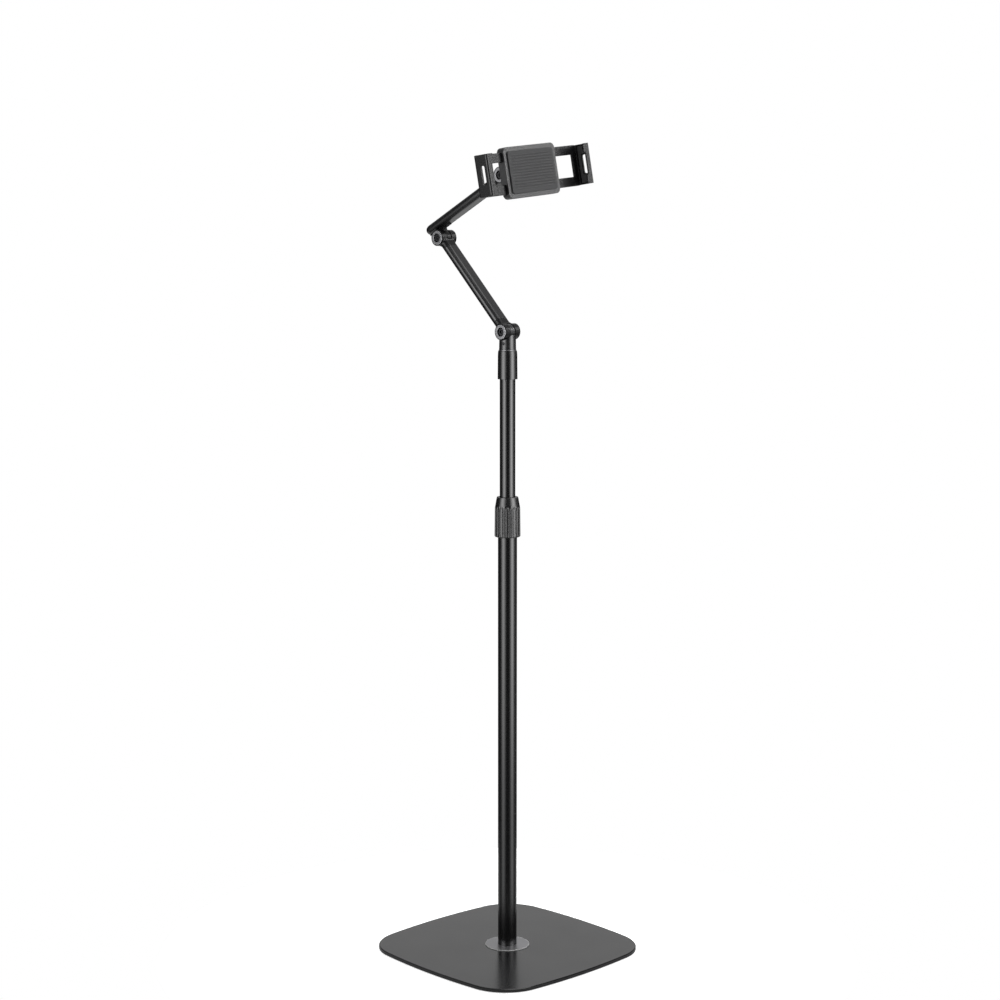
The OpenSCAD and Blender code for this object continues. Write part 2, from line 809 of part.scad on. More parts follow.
module neck_post() {
    color(black_metal)
    translate([0, 0, shoulder_z])
    difference() {
        union() {
            difference() {
                translate([0, 0, -neck_h]) cylinder(d1 = neck_d, d2 = neck_top_d, h = neck_h - neck_drop);
                pivot_rod(knuckle_d + 2 * move_gap, -neck_d, neck_d);
            }
            rotate([180, 0, 0]) tongue(neck_h - swivel_stud_h / 2);
        }
        translate([0, 0, -neck_h - cut])
            cylinder(d = swivel_stud_d + 2 * pin_gap, h = swivel_stud_h + cut + move_gap);
        translate([0, 0, neck_screw_z - shoulder_z])
            rotate(neck_screw_turn)
            pivot_rod(neck_screw_d + 2 * seat_gap, -neck_d, 0);
    }
}

module neck_screw() {
    tip = swivel_stud_d / 2 - stud_groove + move_gap;
    color(black_oxide)
    translate([0, 0, neck_screw_z])
    rotate(neck_screw_turn)
    difference() {
        pivot_rod(neck_screw_d, -tip - neck_screw_l, -tip);
        hex_rod(neck_screw_d / 2, -tip - neck_screw_l - cut, -tip - neck_screw_l + neck_screw_d / 2);
    }
}

// Lower arm

module lower_arm_bar() {
    color(black_metal)
    at_shoulder()
    arm_bar(fork_l, lower_arm_l - fork_l);
}

module shoulder_fork() {
    color(black_paint)
    at_shoulder()
    fork();
}

module elbow_fork() {
    color(black_paint)
    at_shoulder()
    translate([0, 0, lower_arm_l])
    rotate([180, 0, 0])
    fork();
}

// What both ends of the lower arm carry
module at_both_pivots() {
    at_shoulder() {
        children();
        translate([0, 0, lower_arm_l]) children();
    }
}

module lower_arm_bolts() {
    color(black_oxide) at_both_pivots() pivot_bolt();
}

module lower_arm_nuts() {
    color(black_oxide) at_both_pivots() pivot_nut();
}

module lower_arm_caps() {
    color(bright_metal) at_both_pivots() pivot_caps();
}

module lower_arm_washers() {
    color(nylon) at_both_pivots() pivot_washers();
}

// Upper arm

module upper_arm_bar() {
    screw_z = lug_foot_l / 2 - lug_screw_d;
    color(black_metal)
    at_elbow()
    translate([0, elbow_offset, 0])
    difference() {
        arm_bar(arm_plug_l - arm_overhang, upper_arm_l - fork_l);
        for (side = [-1, 1])
            translate([0, 0, side * screw_z])
            rotate([90, 0, 0])
            cylinder(d = lug_screw_d + 2 * seat_gap, h = arm_t);
    }
}

// Plug that closes the upper arm, its end rounded across and along the pivots
module upper_arm_cap() {
    color(black_paint)
    at_elbow()
    translate([0, elbow_offset, arm_plug_l - arm_overhang])
    union() {
        intersection() {
            translate([0, 0, -arm_plug_l]) linear_extrude(arm_plug_l) stadium(arm_w, arm_t);
            translate([-arm_w, 0, 0])
                rotate([90, 0, 90])
                linear_extrude(2 * arm_w)
                rounded(arm_t, 2 * arm_plug_l, arm_end_r);
            translate([0, arm_w, 0])
                rotate([90, 0, 0])
                linear_extrude(2 * arm_w)
                rounded(arm_w, 2 * arm_plug_l, arm_end_r);
        }
        translate([0, 0, -cut])
            linear_extrude(spigot_l / 2 + cut)
            stadium(arm_w - 2 * arm_wall - 2 * seat_gap, arm_t - 2 * arm_wall - 2 * seat_gap);
    }
}

module elbow_lug() {
    under = elbow_offset - arm_t / 2;
    foot_w = arm_w - arm_t - 2 * move_gap;
    screw_z = lug_foot_l / 2 - lug_screw_d;
    color(black_paint)
    at_elbow()
    difference() {
        union() {
            rotate([-90, 0, 0]) tongue(under - lug_foot_t / 2);
            translate([-foot_w / 2, under - lug_foot_t, -lug_foot_l / 2]) cube([foot_w, lug_foot_t, lug_foot_l]);
        }
        for (side = [-1, 1])
            translate([0, under + cut, side * screw_z])
            rotate([90, 0, 0])
            cylinder(d = lug_screw_d + 2 * seat_gap, h = lug_foot_t + 2 * cut);
    }
}

module elbow_lug_screws() {
    under = elbow_offset - arm_t / 2;
    screw_z = lug_foot_l / 2 - lug_screw_d;
    head_h = lug_screw_d * 0.4;
    color(black_oxide)
    at_elbow()
    for (side = [-1, 1])
        translate([0, under - lug_foot_t, side * screw_z])
        rotate([-90, 0, 0]) {
            translate([0, 0, -head_h]) cylinder(d = lug_screw_d * 1.7, h = head_h);
            translate([0, 0, -head_h / 2]) cylinder(d = lug_screw_d, h = head_h / 2 + lug_foot_t + arm_wall);
        }
}

module head_fork() {
    color(black_paint)
    at_head()
    rotate([180, 0, 0])
    fork();
}

module head_bolt() {
    color(black_oxide) at_head() pivot_bolt();
}

module head_nut() {
    color(black_oxide) at_head() pivot_nut();
}

module head_caps() {
    color(bright_metal) at_head() pivot_caps();
}

module head_washers() {
    color(nylon) at_head() pivot_washers();
}

// Tilting head

module tilt_head() {
    stem_d0 = knuckle_d / 2 + 3 * wide_gap;
    flange_d0 = head_reach - head_flange_t;
    color(black_paint)
    at_tilt()
    difference() {
        union() {
            rotate([90, 0, 0]) tongue(stem_d0 + cut);
            in_depth(stem_d0, flange_d0 + cut) circle(d = head_stem_d);
            in_depth(flange_d0, head_reach) circle(d = head_flange_d);
        }
        in_depth(head_reach - head_stud_grip, head_reach + cut) circle(d = head_stud_d + 2 * seat_gap);
    }
}

module head_stud() {
    color(zinc)
    at_tilt()
    in_depth(head_reach - head_stud_grip, front_d - move_gap)
    circle(d = head_stud_d);
}

module head_stud_nut() {
    color(zinc)
    at_tilt()
    in_depth(channel_d + move_gap, channel_d + move_gap + head_nut_t)
    difference() {
        circle(d = head_nut_w * hex_round, $fn = 6);
        circle(d = head_stud_d + 2 * seat_gap);
    }
}

module head_pad() {
    color(nylon)
    at_tilt()
    in_depth(head_reach, head_reach + head_pad_t)
    difference() {
        circle(d = head_flange_d - 2 * head_pad_t);
        circle(d = head_stud_d + 2 * seat_gap);
    }
}

// Holder

module at_holder_screws() {
    for (x = [-1, 1], z = [-1, 1])
        translate([x * holder_screw_x, 0, z * holder_screw_z]) children();
}

// Housing with a channel for each pair of straps and a pocket round the swivel nut
module holder_back() {
    color(black_plastic)
    at_holder()
    difference() {
        in_depth(back_d, front_d) rounded(holder_w, holder_h, holder_corner_r);
        for (z = [-strap_z, strap_z])
            in_depth(channel_d, front_d + cut)
            translate([0, z])
            square([holder_w + 2 * cut, strap_h + 2 * strap_clear], center = true);
        in_depth(channel_d, front_d + cut) circle(d = head_nut_w * hex_round + 2 * wide_gap);
        in_depth(back_d - cut, channel_d + cut) circle(d = head_stud_d + 2 * pin_gap);
        translate([0, 0, -strap_z]) in_depth(back_d - cut, channel_d + cut) circle(d = guide_pin_d + 2 * move_gap);
        translate([0, 0, strap_z]) in_depth(back_d + cut, channel_d + cut) circle(d = guide_pin_d + 2 * seat_gap);
        at_holder_screws() {
            in_depth(back_d - cut, front_d + cut) circle(d = holder_screw_d + 2 * seat_gap);
            in_depth(back_d - cut, back_d + holder_screw_d) circle(d = 2 * holder_screw_d + 2 * seat_gap);
        }
    }
}

module holder_front() {
    color(black_plastic)
    at_holder()
    difference() {
        in_depth(front_d, pad_d) rounded(holder_w, holder_h, holder_corner_r);
        translate([0, 0, -strap_z]) {
            in_depth(front_d - cut, pad_d + cut) circle(d = guide_pin_d + 2 * move_gap);
            in_depth(front_d + cut, pad_d + cut) circle(d = (nut_w + 2 * seat_gap) * hex_round, $fn = 6);
        }
        translate([0, 0, strap_z]) in_depth(front_d - cut, pad_d - cut) circle(d = guide_pin_d + 2 * seat_gap);
        at_holder_screws() in_depth(front_d - cut, pad_d - cut) circle(d = holder_screw_d + 2 * seat_gap);
    }
}

module holder_pad() {
    pad_w = holder_w - 2 * holder_pad_inset;
    pad_h = holder_h - 2 * holder_pad_inset;
    color(rubber)
    at_holder()
    difference() {
        in_depth(pad_d, pad_d + holder_pad_t) rounded(pad_w, pad_h, holder_corner_r / 2);
        for (i = [1 : pad_groove_count])
            in_depth(pad_d + holder_pad_t - pad_groove_depth, pad_d + holder_pad_t + cut)
            translate([0, pad_h * (i / (pad_groove_count + 1) - 0.5)])
            stadium(pad_w - 2 * holder_pad_inset, pad_groove_w);
    }
}

module holder_screws() {
    head_d1 = back_d + holder_screw_d;
    color(black_oxide)
    at_holder()
    at_holder_screws()
    difference() {
        union() {
            in_depth(back_d + cut, head_d1) circle(d = 2 * holder_screw_d);
            in_depth(head_d1 - cut, pad_d - cut) circle(d = holder_screw_d);
        }
        in_depth(back_d, back_d + 2 * cut) circle(d = holder_screw_d, $fn = 6);
    }
}

module guide_pin() {
    color(zinc)
    at_holder()
    translate([0, 0, strap_z])
    in_depth(back_d + cut, pad_d - cut)
    circle(d = guide_pin_d);
}

module clamp_nut() {
    color(zinc)
    at_holder()
    translate([0, 0, -strap_z])
    in_depth(front_d + cut, pad_d)
    difference() {
        circle(d = nut_w * hex_round, $fn = 6);
        circle(d = guide_pin_d + 2 * slide_gap);
    }
}

module clamp_knob() {
    flute = knob_d / 6;
    color(black_plastic)
    at_holder()
    translate([0, 0, -strap_z])
    difference() {
        union() {
            in_depth(knob_d0, knob_d1) circle(d = knob_d);
            in_depth(knob_d1 - cut, knob_end_d) circle(d = knob_hub_d);
        }
        for (i = [0 : knob_flutes - 1])
            in_depth(knob_d0 - cut, knob_d1 + cut / 2)
            rotate(360 * i / knob_flutes)
            translate([knob_d / 2 + flute / 6, 0])
            circle(d = flute, $fn = 24);
        in_depth(knob_d0 + knob_t / 2, knob_end_d + cut) circle(d = guide_pin_d + 2 * seat_gap);
    }
}

module clamp_screw() {
    color(zinc)
    at_holder()
    translate([0, 0, -strap_z])
    in_depth(knob_d0 + knob_t / 2, pad_d - wide_gap)
    circle(d = guide_pin_d);
}

// Jaws

// Plan of the folded sheet, or of the lining inside it, with the outer face of the side plate on x = 0
module folded_plan(inset, thickness, d0, rear_w) {
    outer_r = fold_r - inset;
    width = 4 * rear_flange_w;
    depth = lip_d - d0 - 2 * inset;
    translate([inset, -lip_d + inset])
    difference() {
        intersection() {
            translate([width / 2, depth / 2]) rounded(width, depth, outer_r);
            union() {
                square([lip_w - inset, depth / 2]);
                translate([0, depth / 2]) square([rear_w - inset, depth / 2]);
            }
        }
        translate([width / 2 + thickness, depth / 2])
            rounded(width, depth - 2 * thickness, max(outer_r - thickness, 0.2));
    }
}

// Front view of the lip: wide rounded ends and a narrow waist
module lip_outline(inset) {
    half_waist = lip_waist_l / 2;
    start = inset > 0 ? -lip_w : 0;
    end = lip_w - inset;
    difference() {
        translate([(start + end) / 2, 0]) rounded(end - start, jaw_h - 2 * inset, lip_corner_r);
        polygon([
            [lip_waist - inset, -half_waist], [lip_w + cut, -half_waist - lip_slope * (lip_w + cut - lip_waist) / 4],
            [lip_w + cut, half_waist + lip_slope * (lip_w + cut - lip_waist) / 4], [lip_waist - inset, half_waist]
        ]);
    }
}

// Everything in front of the slot that lies outside the lip's outline
module lip_trim(inset) {
    in_depth(lip_d - fold_r - inset, lip_d + cut)
    difference() {
        translate([0, -jaw_h]) square([4 * rear_flange_w, 2 * jaw_h]);
        lip_outline(inset);
    }
}

module side_slot(margin) {
    translate([-cut, -lip_d + side_slot_inset, 0])
        rotate([90, 0, 90])
        linear_extrude(fold_r + 2 * lining_t + cut)
        rounded(side_slot_w + 2 * margin, side_slot_l + 2 * margin, side_slot_w / 3);
}

// One jaw, with the outer face of its side plate on x = 0 and its straps running along +X
module jaw(strap_d) {
    strap_end = jaw_open / 2 + strap_inner_x;
    slot_x0 = jaw_open / 2 - jaw_travel_in - slot_w / 2;
    slot_x1 = jaw_open / 2 + jaw_travel_out + slot_w / 2;
    difference() {
        translate([0, 0, -jaw_h / 2])
            linear_extrude(jaw_h)
            folded_plan(0, sheet_t, strap_d, rear_flange_w);
        lip_trim(0);
        side_slot(0);
    }
    for (z = [-strap_z, strap_z])
        translate([0, 0, z])
        in_depth(strap_d, strap_d + sheet_t)
        difference() {
            translate([fold_r + cut, -strap_h / 2]) square([strap_end - fold_r - cut, strap_h]);
            translate([(slot_x0 + slot_x1) / 2, 0]) stadium(slot_x1 - slot_x0, slot_w);
        }
}

module jaw_lining() {
    lining_d = left_strap_d + sheet_t + fold_r;
    difference() {
        translate([0, 0, lip_corner_r - jaw_h / 2])
            linear_extrude(jaw_h - 2 * lip_corner_r)
            intersection() {
                folded_plan(sheet_t, lining_t, left_strap_d, lip_w);
                translate([0, -lip_d]) square([lip_w, lip_d - lining_d]);
            }
        lip_trim(lining_t);
        side_slot(lining_t);
    }
}

module left_jaw() {
    color(black_paint) at_holder() translate([-jaw_open / 2, 0, 0]) jaw(left_strap_d);
}

module left_jaw_lining() {
    color(rubber) at_holder() translate([-jaw_open / 2, 0, 0]) jaw_lining();
}

module right_jaw() {
    color(black_paint) at_holder() mirror([1, 0, 0]) translate([-jaw_open / 2, 0, 0]) jaw(right_strap_d);
}

module right_jaw_lining() {
    color(rubber) at_holder() mirror([1, 0, 0]) translate([-jaw_open / 2, 0, 0]) jaw_lining();
}

base_plate();
base_mat();
base_bolt();
foot_disc();
foot_plug();
lower_tube();
tube_ferrule();
collet();
lock_collar();
upper_tube();
guide_bush();
top_sleeve();
stop_pin();
swivel_washer();
swivel_stud();
neck_post();
neck_screw();
lower_arm_bar();
shoulder_fork();
elbow_fork();
lower_arm_bolts();
lower_arm_nuts();
lower_arm_caps();
lower_arm_washers();
upper_arm_bar();
upper_arm_cap();
elbow_lug();
elbow_lug_screws();
head_fork();
head_bolt();
head_nut();
head_caps();
head_washers();
tilt_head();
head_stud();
head_stud_nut();
head_pad();
holder_back();
holder_front();
holder_pad();
holder_screws();
guide_pin();
clamp_nut();
clamp_knob();
clamp_screw();
left_jaw();
left_jaw_lining();
right_jaw();
right_jaw_lining();
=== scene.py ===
"""Looks of an adjustable floor stand: finishes for its solids, smooth castings, grips, a pad and a studio."""

import json
import math

import bmesh
import bpy
from mathutils import Matrix, Vector

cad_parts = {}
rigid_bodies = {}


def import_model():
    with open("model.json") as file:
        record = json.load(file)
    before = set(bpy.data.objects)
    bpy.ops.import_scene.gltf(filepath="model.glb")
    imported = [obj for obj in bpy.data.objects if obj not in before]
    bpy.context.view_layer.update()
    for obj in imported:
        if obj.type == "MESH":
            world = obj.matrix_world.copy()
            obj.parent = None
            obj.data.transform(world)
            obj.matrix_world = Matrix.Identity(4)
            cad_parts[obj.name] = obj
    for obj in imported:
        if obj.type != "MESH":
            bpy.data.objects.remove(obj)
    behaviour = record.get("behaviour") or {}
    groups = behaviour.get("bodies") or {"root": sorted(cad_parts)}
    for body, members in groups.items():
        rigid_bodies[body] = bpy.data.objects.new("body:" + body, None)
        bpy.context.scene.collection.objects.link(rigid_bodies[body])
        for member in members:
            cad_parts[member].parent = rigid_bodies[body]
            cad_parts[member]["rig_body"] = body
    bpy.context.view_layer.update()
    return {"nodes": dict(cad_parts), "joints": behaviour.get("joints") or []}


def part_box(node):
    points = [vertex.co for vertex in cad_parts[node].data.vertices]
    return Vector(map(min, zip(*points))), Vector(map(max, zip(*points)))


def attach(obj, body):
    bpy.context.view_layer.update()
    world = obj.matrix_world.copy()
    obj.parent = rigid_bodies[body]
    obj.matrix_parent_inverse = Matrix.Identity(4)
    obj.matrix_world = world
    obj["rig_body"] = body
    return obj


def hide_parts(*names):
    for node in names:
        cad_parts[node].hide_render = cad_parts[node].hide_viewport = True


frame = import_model()

bl_info = {
    "name": "Floor stand looks",
    "version": (1, 0, 0),
    "blender": (4, 5, 0),
    "location": "3D View > Sidebar > Floor stand",
    "description": "Dresses the solids of an adjustable floor stand and sets up its studio",
    "category": "Object",
}

MM = 0.001
CRISP_ANGLE = 40
CASTING_ANGLE = 38
STEPS_PER_FLUTE = 16
HARD_EDGE = 1 / (0.01 * MM)
WELD = 0.001 * MM
WHITE = (1.0, 1.0, 1.0)
BLACK = (0.0, 0.0, 0.0)


class StandFinishes(bpy.types.PropertyGroup):
    """Colours and sheens of the stand."""

    coat: bpy.props.FloatVectorProperty(
        name="Coat", description="Satin black powder coat of base and jaws", subtype="COLOR", size=3,
        default=(0.011, 0.011, 0.012), min=0.0, max=1.0)
    enamel: bpy.props.FloatVectorProperty(
        name="Enamel", description="Glossy black enamel of the tubes", subtype="COLOR", size=3,
        default=(0.004, 0.004, 0.0045), min=0.0, max=1.0)
    anodised: bpy.props.FloatVectorProperty(
        name="Anodised", description="Black anodised aluminium of the arm", subtype="COLOR", size=3,
        default=(0.010, 0.010, 0.011), min=0.0, max=1.0)
    plastic: bpy.props.FloatVectorProperty(
        name="Plastic", description="Black moulded plastic of collar and housing", subtype="COLOR", size=3,
        default=(0.014, 0.014, 0.015), min=0.0, max=1.0)
    silver: bpy.props.FloatVectorProperty(
        name="Silver trim", description="Satin rings on the knuckles", subtype="COLOR", size=3,
        default=(0.30, 0.30, 0.31), min=0.0, max=1.0)
    steel: bpy.props.FloatVectorProperty(
        name="Steel", description="Zinc plated fasteners", subtype="COLOR", size=3,
        default=(0.36, 0.36, 0.37), min=0.0, max=1.0)
    rubber: bpy.props.FloatVectorProperty(
        name="Rubber", description="Pads, linings and mat", subtype="COLOR", size=3,
        default=(0.026, 0.026, 0.027), min=0.0, max=1.0)
    edge: bpy.props.FloatProperty(
        name="Edge softness", description="Radius of the softened edges", unit="LENGTH", default=0.4 * MM,
        min=0.05 * MM, max=2 * MM, precision=5)


class StandGrips(bpy.types.PropertyGroup):
    """Sizes of the fluted and ribbed grips."""

    collar_flutes: bpy.props.IntProperty(
        name="Collar flutes", description="Flutes round the twist lock", default=24, min=12, max=36)
    collar_flute_depth: bpy.props.FloatProperty(
        name="Collar flute depth", description="Depth of each flute", unit="LENGTH", default=1.3 * MM,
        min=0.2 * MM, max=1.5 * MM, precision=5)
    knob_flutes: bpy.props.IntProperty(
        name="Knob flutes", description="Flutes round the clamp knob", default=8, min=5, max=16)
    knob_flute_depth: bpy.props.FloatProperty(
        name="Knob flute depth", description="Depth of each flute", unit="LENGTH", default=1.0 * MM,
        min=0.2 * MM, max=2 * MM, precision=5)
    pad_ribs: bpy.props.IntProperty(
        name="Pad ribs", description="Ribs across the rubber pad", default=13, min=3, max=25)
    pad_rib_depth: bpy.props.FloatProperty(
        name="Pad rib depth", description="Depth between the ribs", unit="LENGTH", default=0.5 * MM,
        min=0.1 * MM, max=1 * MM, precision=5)


class StandStudio(bpy.types.PropertyGroup):
    """Camera and lamps."""

    azimuth: bpy.props.FloatProperty(
        name="Azimuth", description="Camera direction round the pole", subtype="ANGLE",
        default=math.radians(-46.5))
    distance: bpy.props.FloatProperty(
        name="Distance", description="Level distance from the pole to the camera", unit="LENGTH",
        default=3.005)
    height: bpy.props.FloatProperty(
        name="Height", description="Camera height above the floor", unit="LENGTH", default=1.045)
    tilt: bpy.props.FloatProperty(
        name="Tilt", description="How far the camera looks down", subtype="ANGLE", default=math.radians(7.41))
    yaw: bpy.props.FloatProperty(
        name="Yaw", description="How far the camera looks to the left of the pole", subtype="ANGLE",
        default=math.radians(0.202))
    lens: bpy.props.FloatProperty(name="Lens", description="Focal length in millimetres", default=77.4)
    card_strength: bpy.props.FloatProperty(
        name="Card strength", description="Brightness of the reflection cards", default=8.5, min=0.0)
    sky_strength: bpy.props.FloatProperty(
        name="Sky strength", description="Even light from all round", default=0.42, min=0.0)
    top_power: bpy.props.FloatProperty(
        name="Top lamp power", description="Power of the soft lamp overhead", subtype="POWER",
        default=38.0, min=0.0)


class Field:
    """A socket that takes part in Python expressions; each operation adds a Math node."""

    def __init__(self, graph, socket):
        self.graph = graph
        self.socket = socket

    def math(self, operation, first, second=None):
        """One Math node on this field's tree."""
        values = {0: first} if second is None else {0: first, 1: second}
        return self.graph.node("ShaderNodeMath", {"operation": operation}, values)

    def __add__(self, other):
        return self.math("ADD", self, other)

    def __radd__(self, other):
        return self.math("ADD", other, self)

    def __sub__(self, other):
        return self.math("SUBTRACT", self, other)

    def __rsub__(self, other):
        return self.math("SUBTRACT", other, self)

    def __mul__(self, other):
        return self.math("MULTIPLY", self, other)

    def __rmul__(self, other):
        return self.math("MULTIPLY", other, self)

    def __truediv__(self, other):
        return self.math("DIVIDE", self, other)

    def __pow__(self, other):
        return self.math("POWER", self, other)

    def __neg__(self):
        return self.math("MULTIPLY", self, -1.0)

    def least(self, other):
        """The smaller of two values."""
        return self.math("MINIMUM", self, other)

    def most(self, other):
        """The larger of two values."""
        return self.math("MAXIMUM", self, other)

    def clamped(self):
        """Value held between 0 and 1."""
        return self.least(1.0).most(0.0)

    def ramp(self, start, rate):
        """Rises at a rate from 0 at a start to 1."""
        return ((self - start) * rate).clamped()

    def root(self):
        """Square root."""
        return self.math("SQRT", self)

    def sine(self):
        """Sine."""
        return self.math("SINE", self)

    def cosine(self):
        """Cosine."""
        return self.math("COSINE", self)

    def fraction(self):
        """What is left after the whole number."""
        return self.math("FRACT", self)

    def size(self):
        """Value without its sign."""
        return self.math("ABSOLUTE", self)

    def angle(self, across):
        """Direction of the point (across, self) round the origin."""
        return self.math("ARCTAN2", self, across)


class Graph:
    """Adds nodes to one tree."""

    def __init__(self, tree):
        self.tree = tree

    def node(self, kind, settings=None, inputs=None, out=0):
        """Adds a node: its settings first, then values or links for its sockets."""
        made = self.tree.nodes.new(kind)
        for key, value in (settings or {}).items():
            setattr(made, key, value)
        for key, value in (inputs or {}).items():
            if isinstance(value, Field):
                self.tree.links.new(value.socket, made.inputs[key])
            else:
                made.inputs[key].default_value = value
        return Field(self, made.outputs[out])

    def split(self, vector):
        """The three parts of a vector."""
        first = self.node("ShaderNodeSeparateXYZ", None, {0: vector})
        outputs = first.socket.node.outputs
        return [Field(self, outputs[i]) for i in range(3)]

    def join(self, x, y, z):
        """A vector from three values."""
        return self.node("ShaderNodeCombineXYZ", None, {0: x, 1: y, 2: z})

    def noise(self, where, scale, detail=2.0, roughness=0.5):
        """Noise between 0 and 1, with features one over scale in size."""
        return self.node("ShaderNodeTexNoise", {"noise_dimensions": "3D"},
                         {"Vector": where, "Scale": scale, "Detail": detail, "Roughness": roughness})

    def tint(self, share, low, high):
        """A colour between two, each written as a colour or taken from a socket."""
        first, second = (end if isinstance(end, Field) else (*end, 1.0) for end in (low, high))
        return self.node("ShaderNodeMix", {"data_type": "RGBA"}, {0: share, 6: first, 7: second}, out=2)


# Finishes


class Finish(Graph):
    """A material with one Principled shader, its place on the piece and a softened edge."""

    def __init__(self, name, edge):
        self.material = bpy.data.materials.new(name)
        self.material.use_nodes = True
        super().__init__(self.material.node_tree)
        self.tree.nodes.clear()
        self.shader = self.tree.nodes.new("ShaderNodeBsdfPrincipled")
        output = self.tree.nodes.new("ShaderNodeOutputMaterial")
        self.tree.links.new(self.shader.outputs[0], output.inputs["Surface"])
        self.place = self.node("ShaderNodeTexCoord", None, None, out="Object")
        self.round = self.node("ShaderNodeBevel", {"samples": 16}, {"Radius": edge}) if edge else None

    def set(self, **values):
        """Sets the shader's sockets to values or links."""
        for key, value in values.items():
            socket = self.shader.inputs[key.replace("_", " ")]
            if isinstance(value, Field):
                self.tree.links.new(value.socket, socket)
            else:
                socket.default_value = value

    def relief(self, height, depth):
        """Raises the surface by a height field, over the softened edges."""
        inputs = {"Height": height, "Distance": depth, "Strength": 1.0}
        if self.round is not None:
            inputs["Normal"] = self.round
        self.set(Normal=self.node("ShaderNodeBump", None, inputs))

    def stretched(self, turn, scale):
        """The place on the piece, turned and then stretched, for grain that runs one way."""
        return self.node("ShaderNodeMapping", {"vector_type": "POINT"},
                         {"Vector": self.place, "Rotation": turn, "Scale": scale})


def shade(colour, factor):
    """A colour made lighter or darker."""
    return tuple(min(1.0, c * factor) for c in colour)


def powder_coat(name, colour, edge, roughness, ior):
    """Black powder coat: soft clouds, a fine orange-peel and slightly uneven sheen."""
    finish = Finish(name, edge)
    peel = finish.noise(finish.place, 700.0, 3.0)
    cloud = finish.noise(finish.place, 14.0, 4.0)
    finish.set(Base_Color=finish.tint(cloud, shade(colour, 0.8), shade(colour, 1.3)), IOR=ior)
    finish.set(Roughness=roughness - 0.05 + 0.1 * cloud + 0.04 * (peel - 0.5))
    finish.relief(peel, 0.0012 * MM)
    return finish.material


def tube_enamel(name, colour, edge):
    """Glossy enamel drawn along the tube: faint upright streaks in its sheen."""
    finish = Finish(name, edge)
    streak = finish.noise(finish.stretched((0, 0, 0), (500.0, 500.0, 6.0)), 1.0, 3.0)
    cloud = finish.noise(finish.place, 22.0, 3.0)
    finish.set(Base_Color=finish.tint(cloud, shade(colour, 0.7), shade(colour, 1.4)), IOR=1.5)
    finish.set(Specular_IOR_Level=0.5, Roughness=0.2 + 0.04 * streak + 0.04 * cloud)
    finish.relief(streak, 0.0002 * MM)
    return finish.material


def anodised_bar(name, colour, edge, turn):
    """Black anodised extrusion: fine draw lines along the bar."""
    finish = Finish(name, edge)
    lines = finish.noise(finish.stretched((turn, 0, 0), (900.0, 900.0, 9.0)), 1.0, 4.0)
    cloud = finish.noise(finish.place, 30.0, 3.0)
    finish.set(Base_Color=finish.tint(lines, shade(colour, 0.75), shade(colour, 1.3)), IOR=1.5)
    finish.set(Specular_IOR_Level=0.5, Roughness=0.2 + 0.04 * lines + 0.04 * cloud)
    finish.relief(lines, 0.0003 * MM)
    return finish.material


def casting(name, colour, edge, sheen):
    """Black die casting: a fine tumbled grain."""
    finish = Finish(name, edge)
    grain = finish.noise(finish.place, 1400.0, 2.0)
    cloud = finish.noise(finish.place, 60.0, 4.0)
    finish.set(Base_Color=finish.tint(cloud, shade(colour, 0.7), shade(colour, 1.4)), IOR=1.5)
    finish.set(Specular_IOR_Level=sheen, Roughness=0.24 + 0.04 * (grain - 0.5) + 0.04 * cloud)
    finish.relief(grain, 0.0003 * MM)
    return finish.material


def moulding(name, colour, edge, grain_size, roughness):
    """Moulded plastic with a spark-eroded grain."""
    finish = Finish(name, edge)
    grain = finish.noise(finish.place, 1.0 / grain_size, 2.0)
    flow = finish.noise(finish.place, 40.0, 3.0)
    finish.set(Base_Color=finish.tint(flow, shade(colour, 0.85), shade(colour, 1.2)), IOR=1.5)
    finish.set(Specular_IOR_Level=0.5, Roughness=roughness + 0.08 * (grain - 0.5) + 0.05 * (flow - 0.5))
    finish.relief(grain, 0.001 * MM)
    return finish.material


def satin_metal(name, colour, edge, roughness):
    """Blasted metal: fine sparkle in the sheen and a soft cloud in the colour."""
    finish = Finish(name, edge)
    grit = finish.noise(finish.place, 2200.0, 2.0)
    cloud = finish.noise(finish.place, 90.0, 3.0)
    finish.set(Base_Color=finish.tint(cloud, shade(colour, 0.88), shade(colour, 1.1)), Metallic=1.0)
    finish.set(Roughness=roughness + 0.12 * (grit - 0.5) + 0.06 * (cloud - 0.5))
    finish.relief(grit, 0.0002 * MM)
    return finish.material


def turned_metal(name, colour, edge, roughness, highlight_r):
    """Metal turned on a lathe round the pole's axis: fine rings, and beyond a radius a pale non-metal band
    that is a painted highlight on the rim.
    """
    finish = Finish(name, edge)
    x, y, z = finish.split(finish.place)
    radius = (x * x + y * y).root()
    rings = finish.noise(finish.join(radius * 2600.0, z * 40.0, 0.0), 1.0, 3.0)
    cloud = finish.noise(finish.place, 45.0, 3.0)
    # Beyond the radius the colour turns pale, non-metal and rougher: a painted highlight along the rim.
    rim_highlight = radius.ramp(highlight_r, 2000.0)
    skin = finish.tint(cloud, shade(colour, 0.85), shade(colour, 1.12))
    highlight_white = (0.8, 0.8, 0.8)
    finish.set(Base_Color=finish.tint(rim_highlight, skin, highlight_white), Metallic=1.0 - rim_highlight)
    finish.set(Roughness=roughness + 0.12 * (rings - 0.5) + 0.05 * cloud + 0.2 * rim_highlight)
    finish.relief(rings, 0.0004 * MM)
    return finish.material


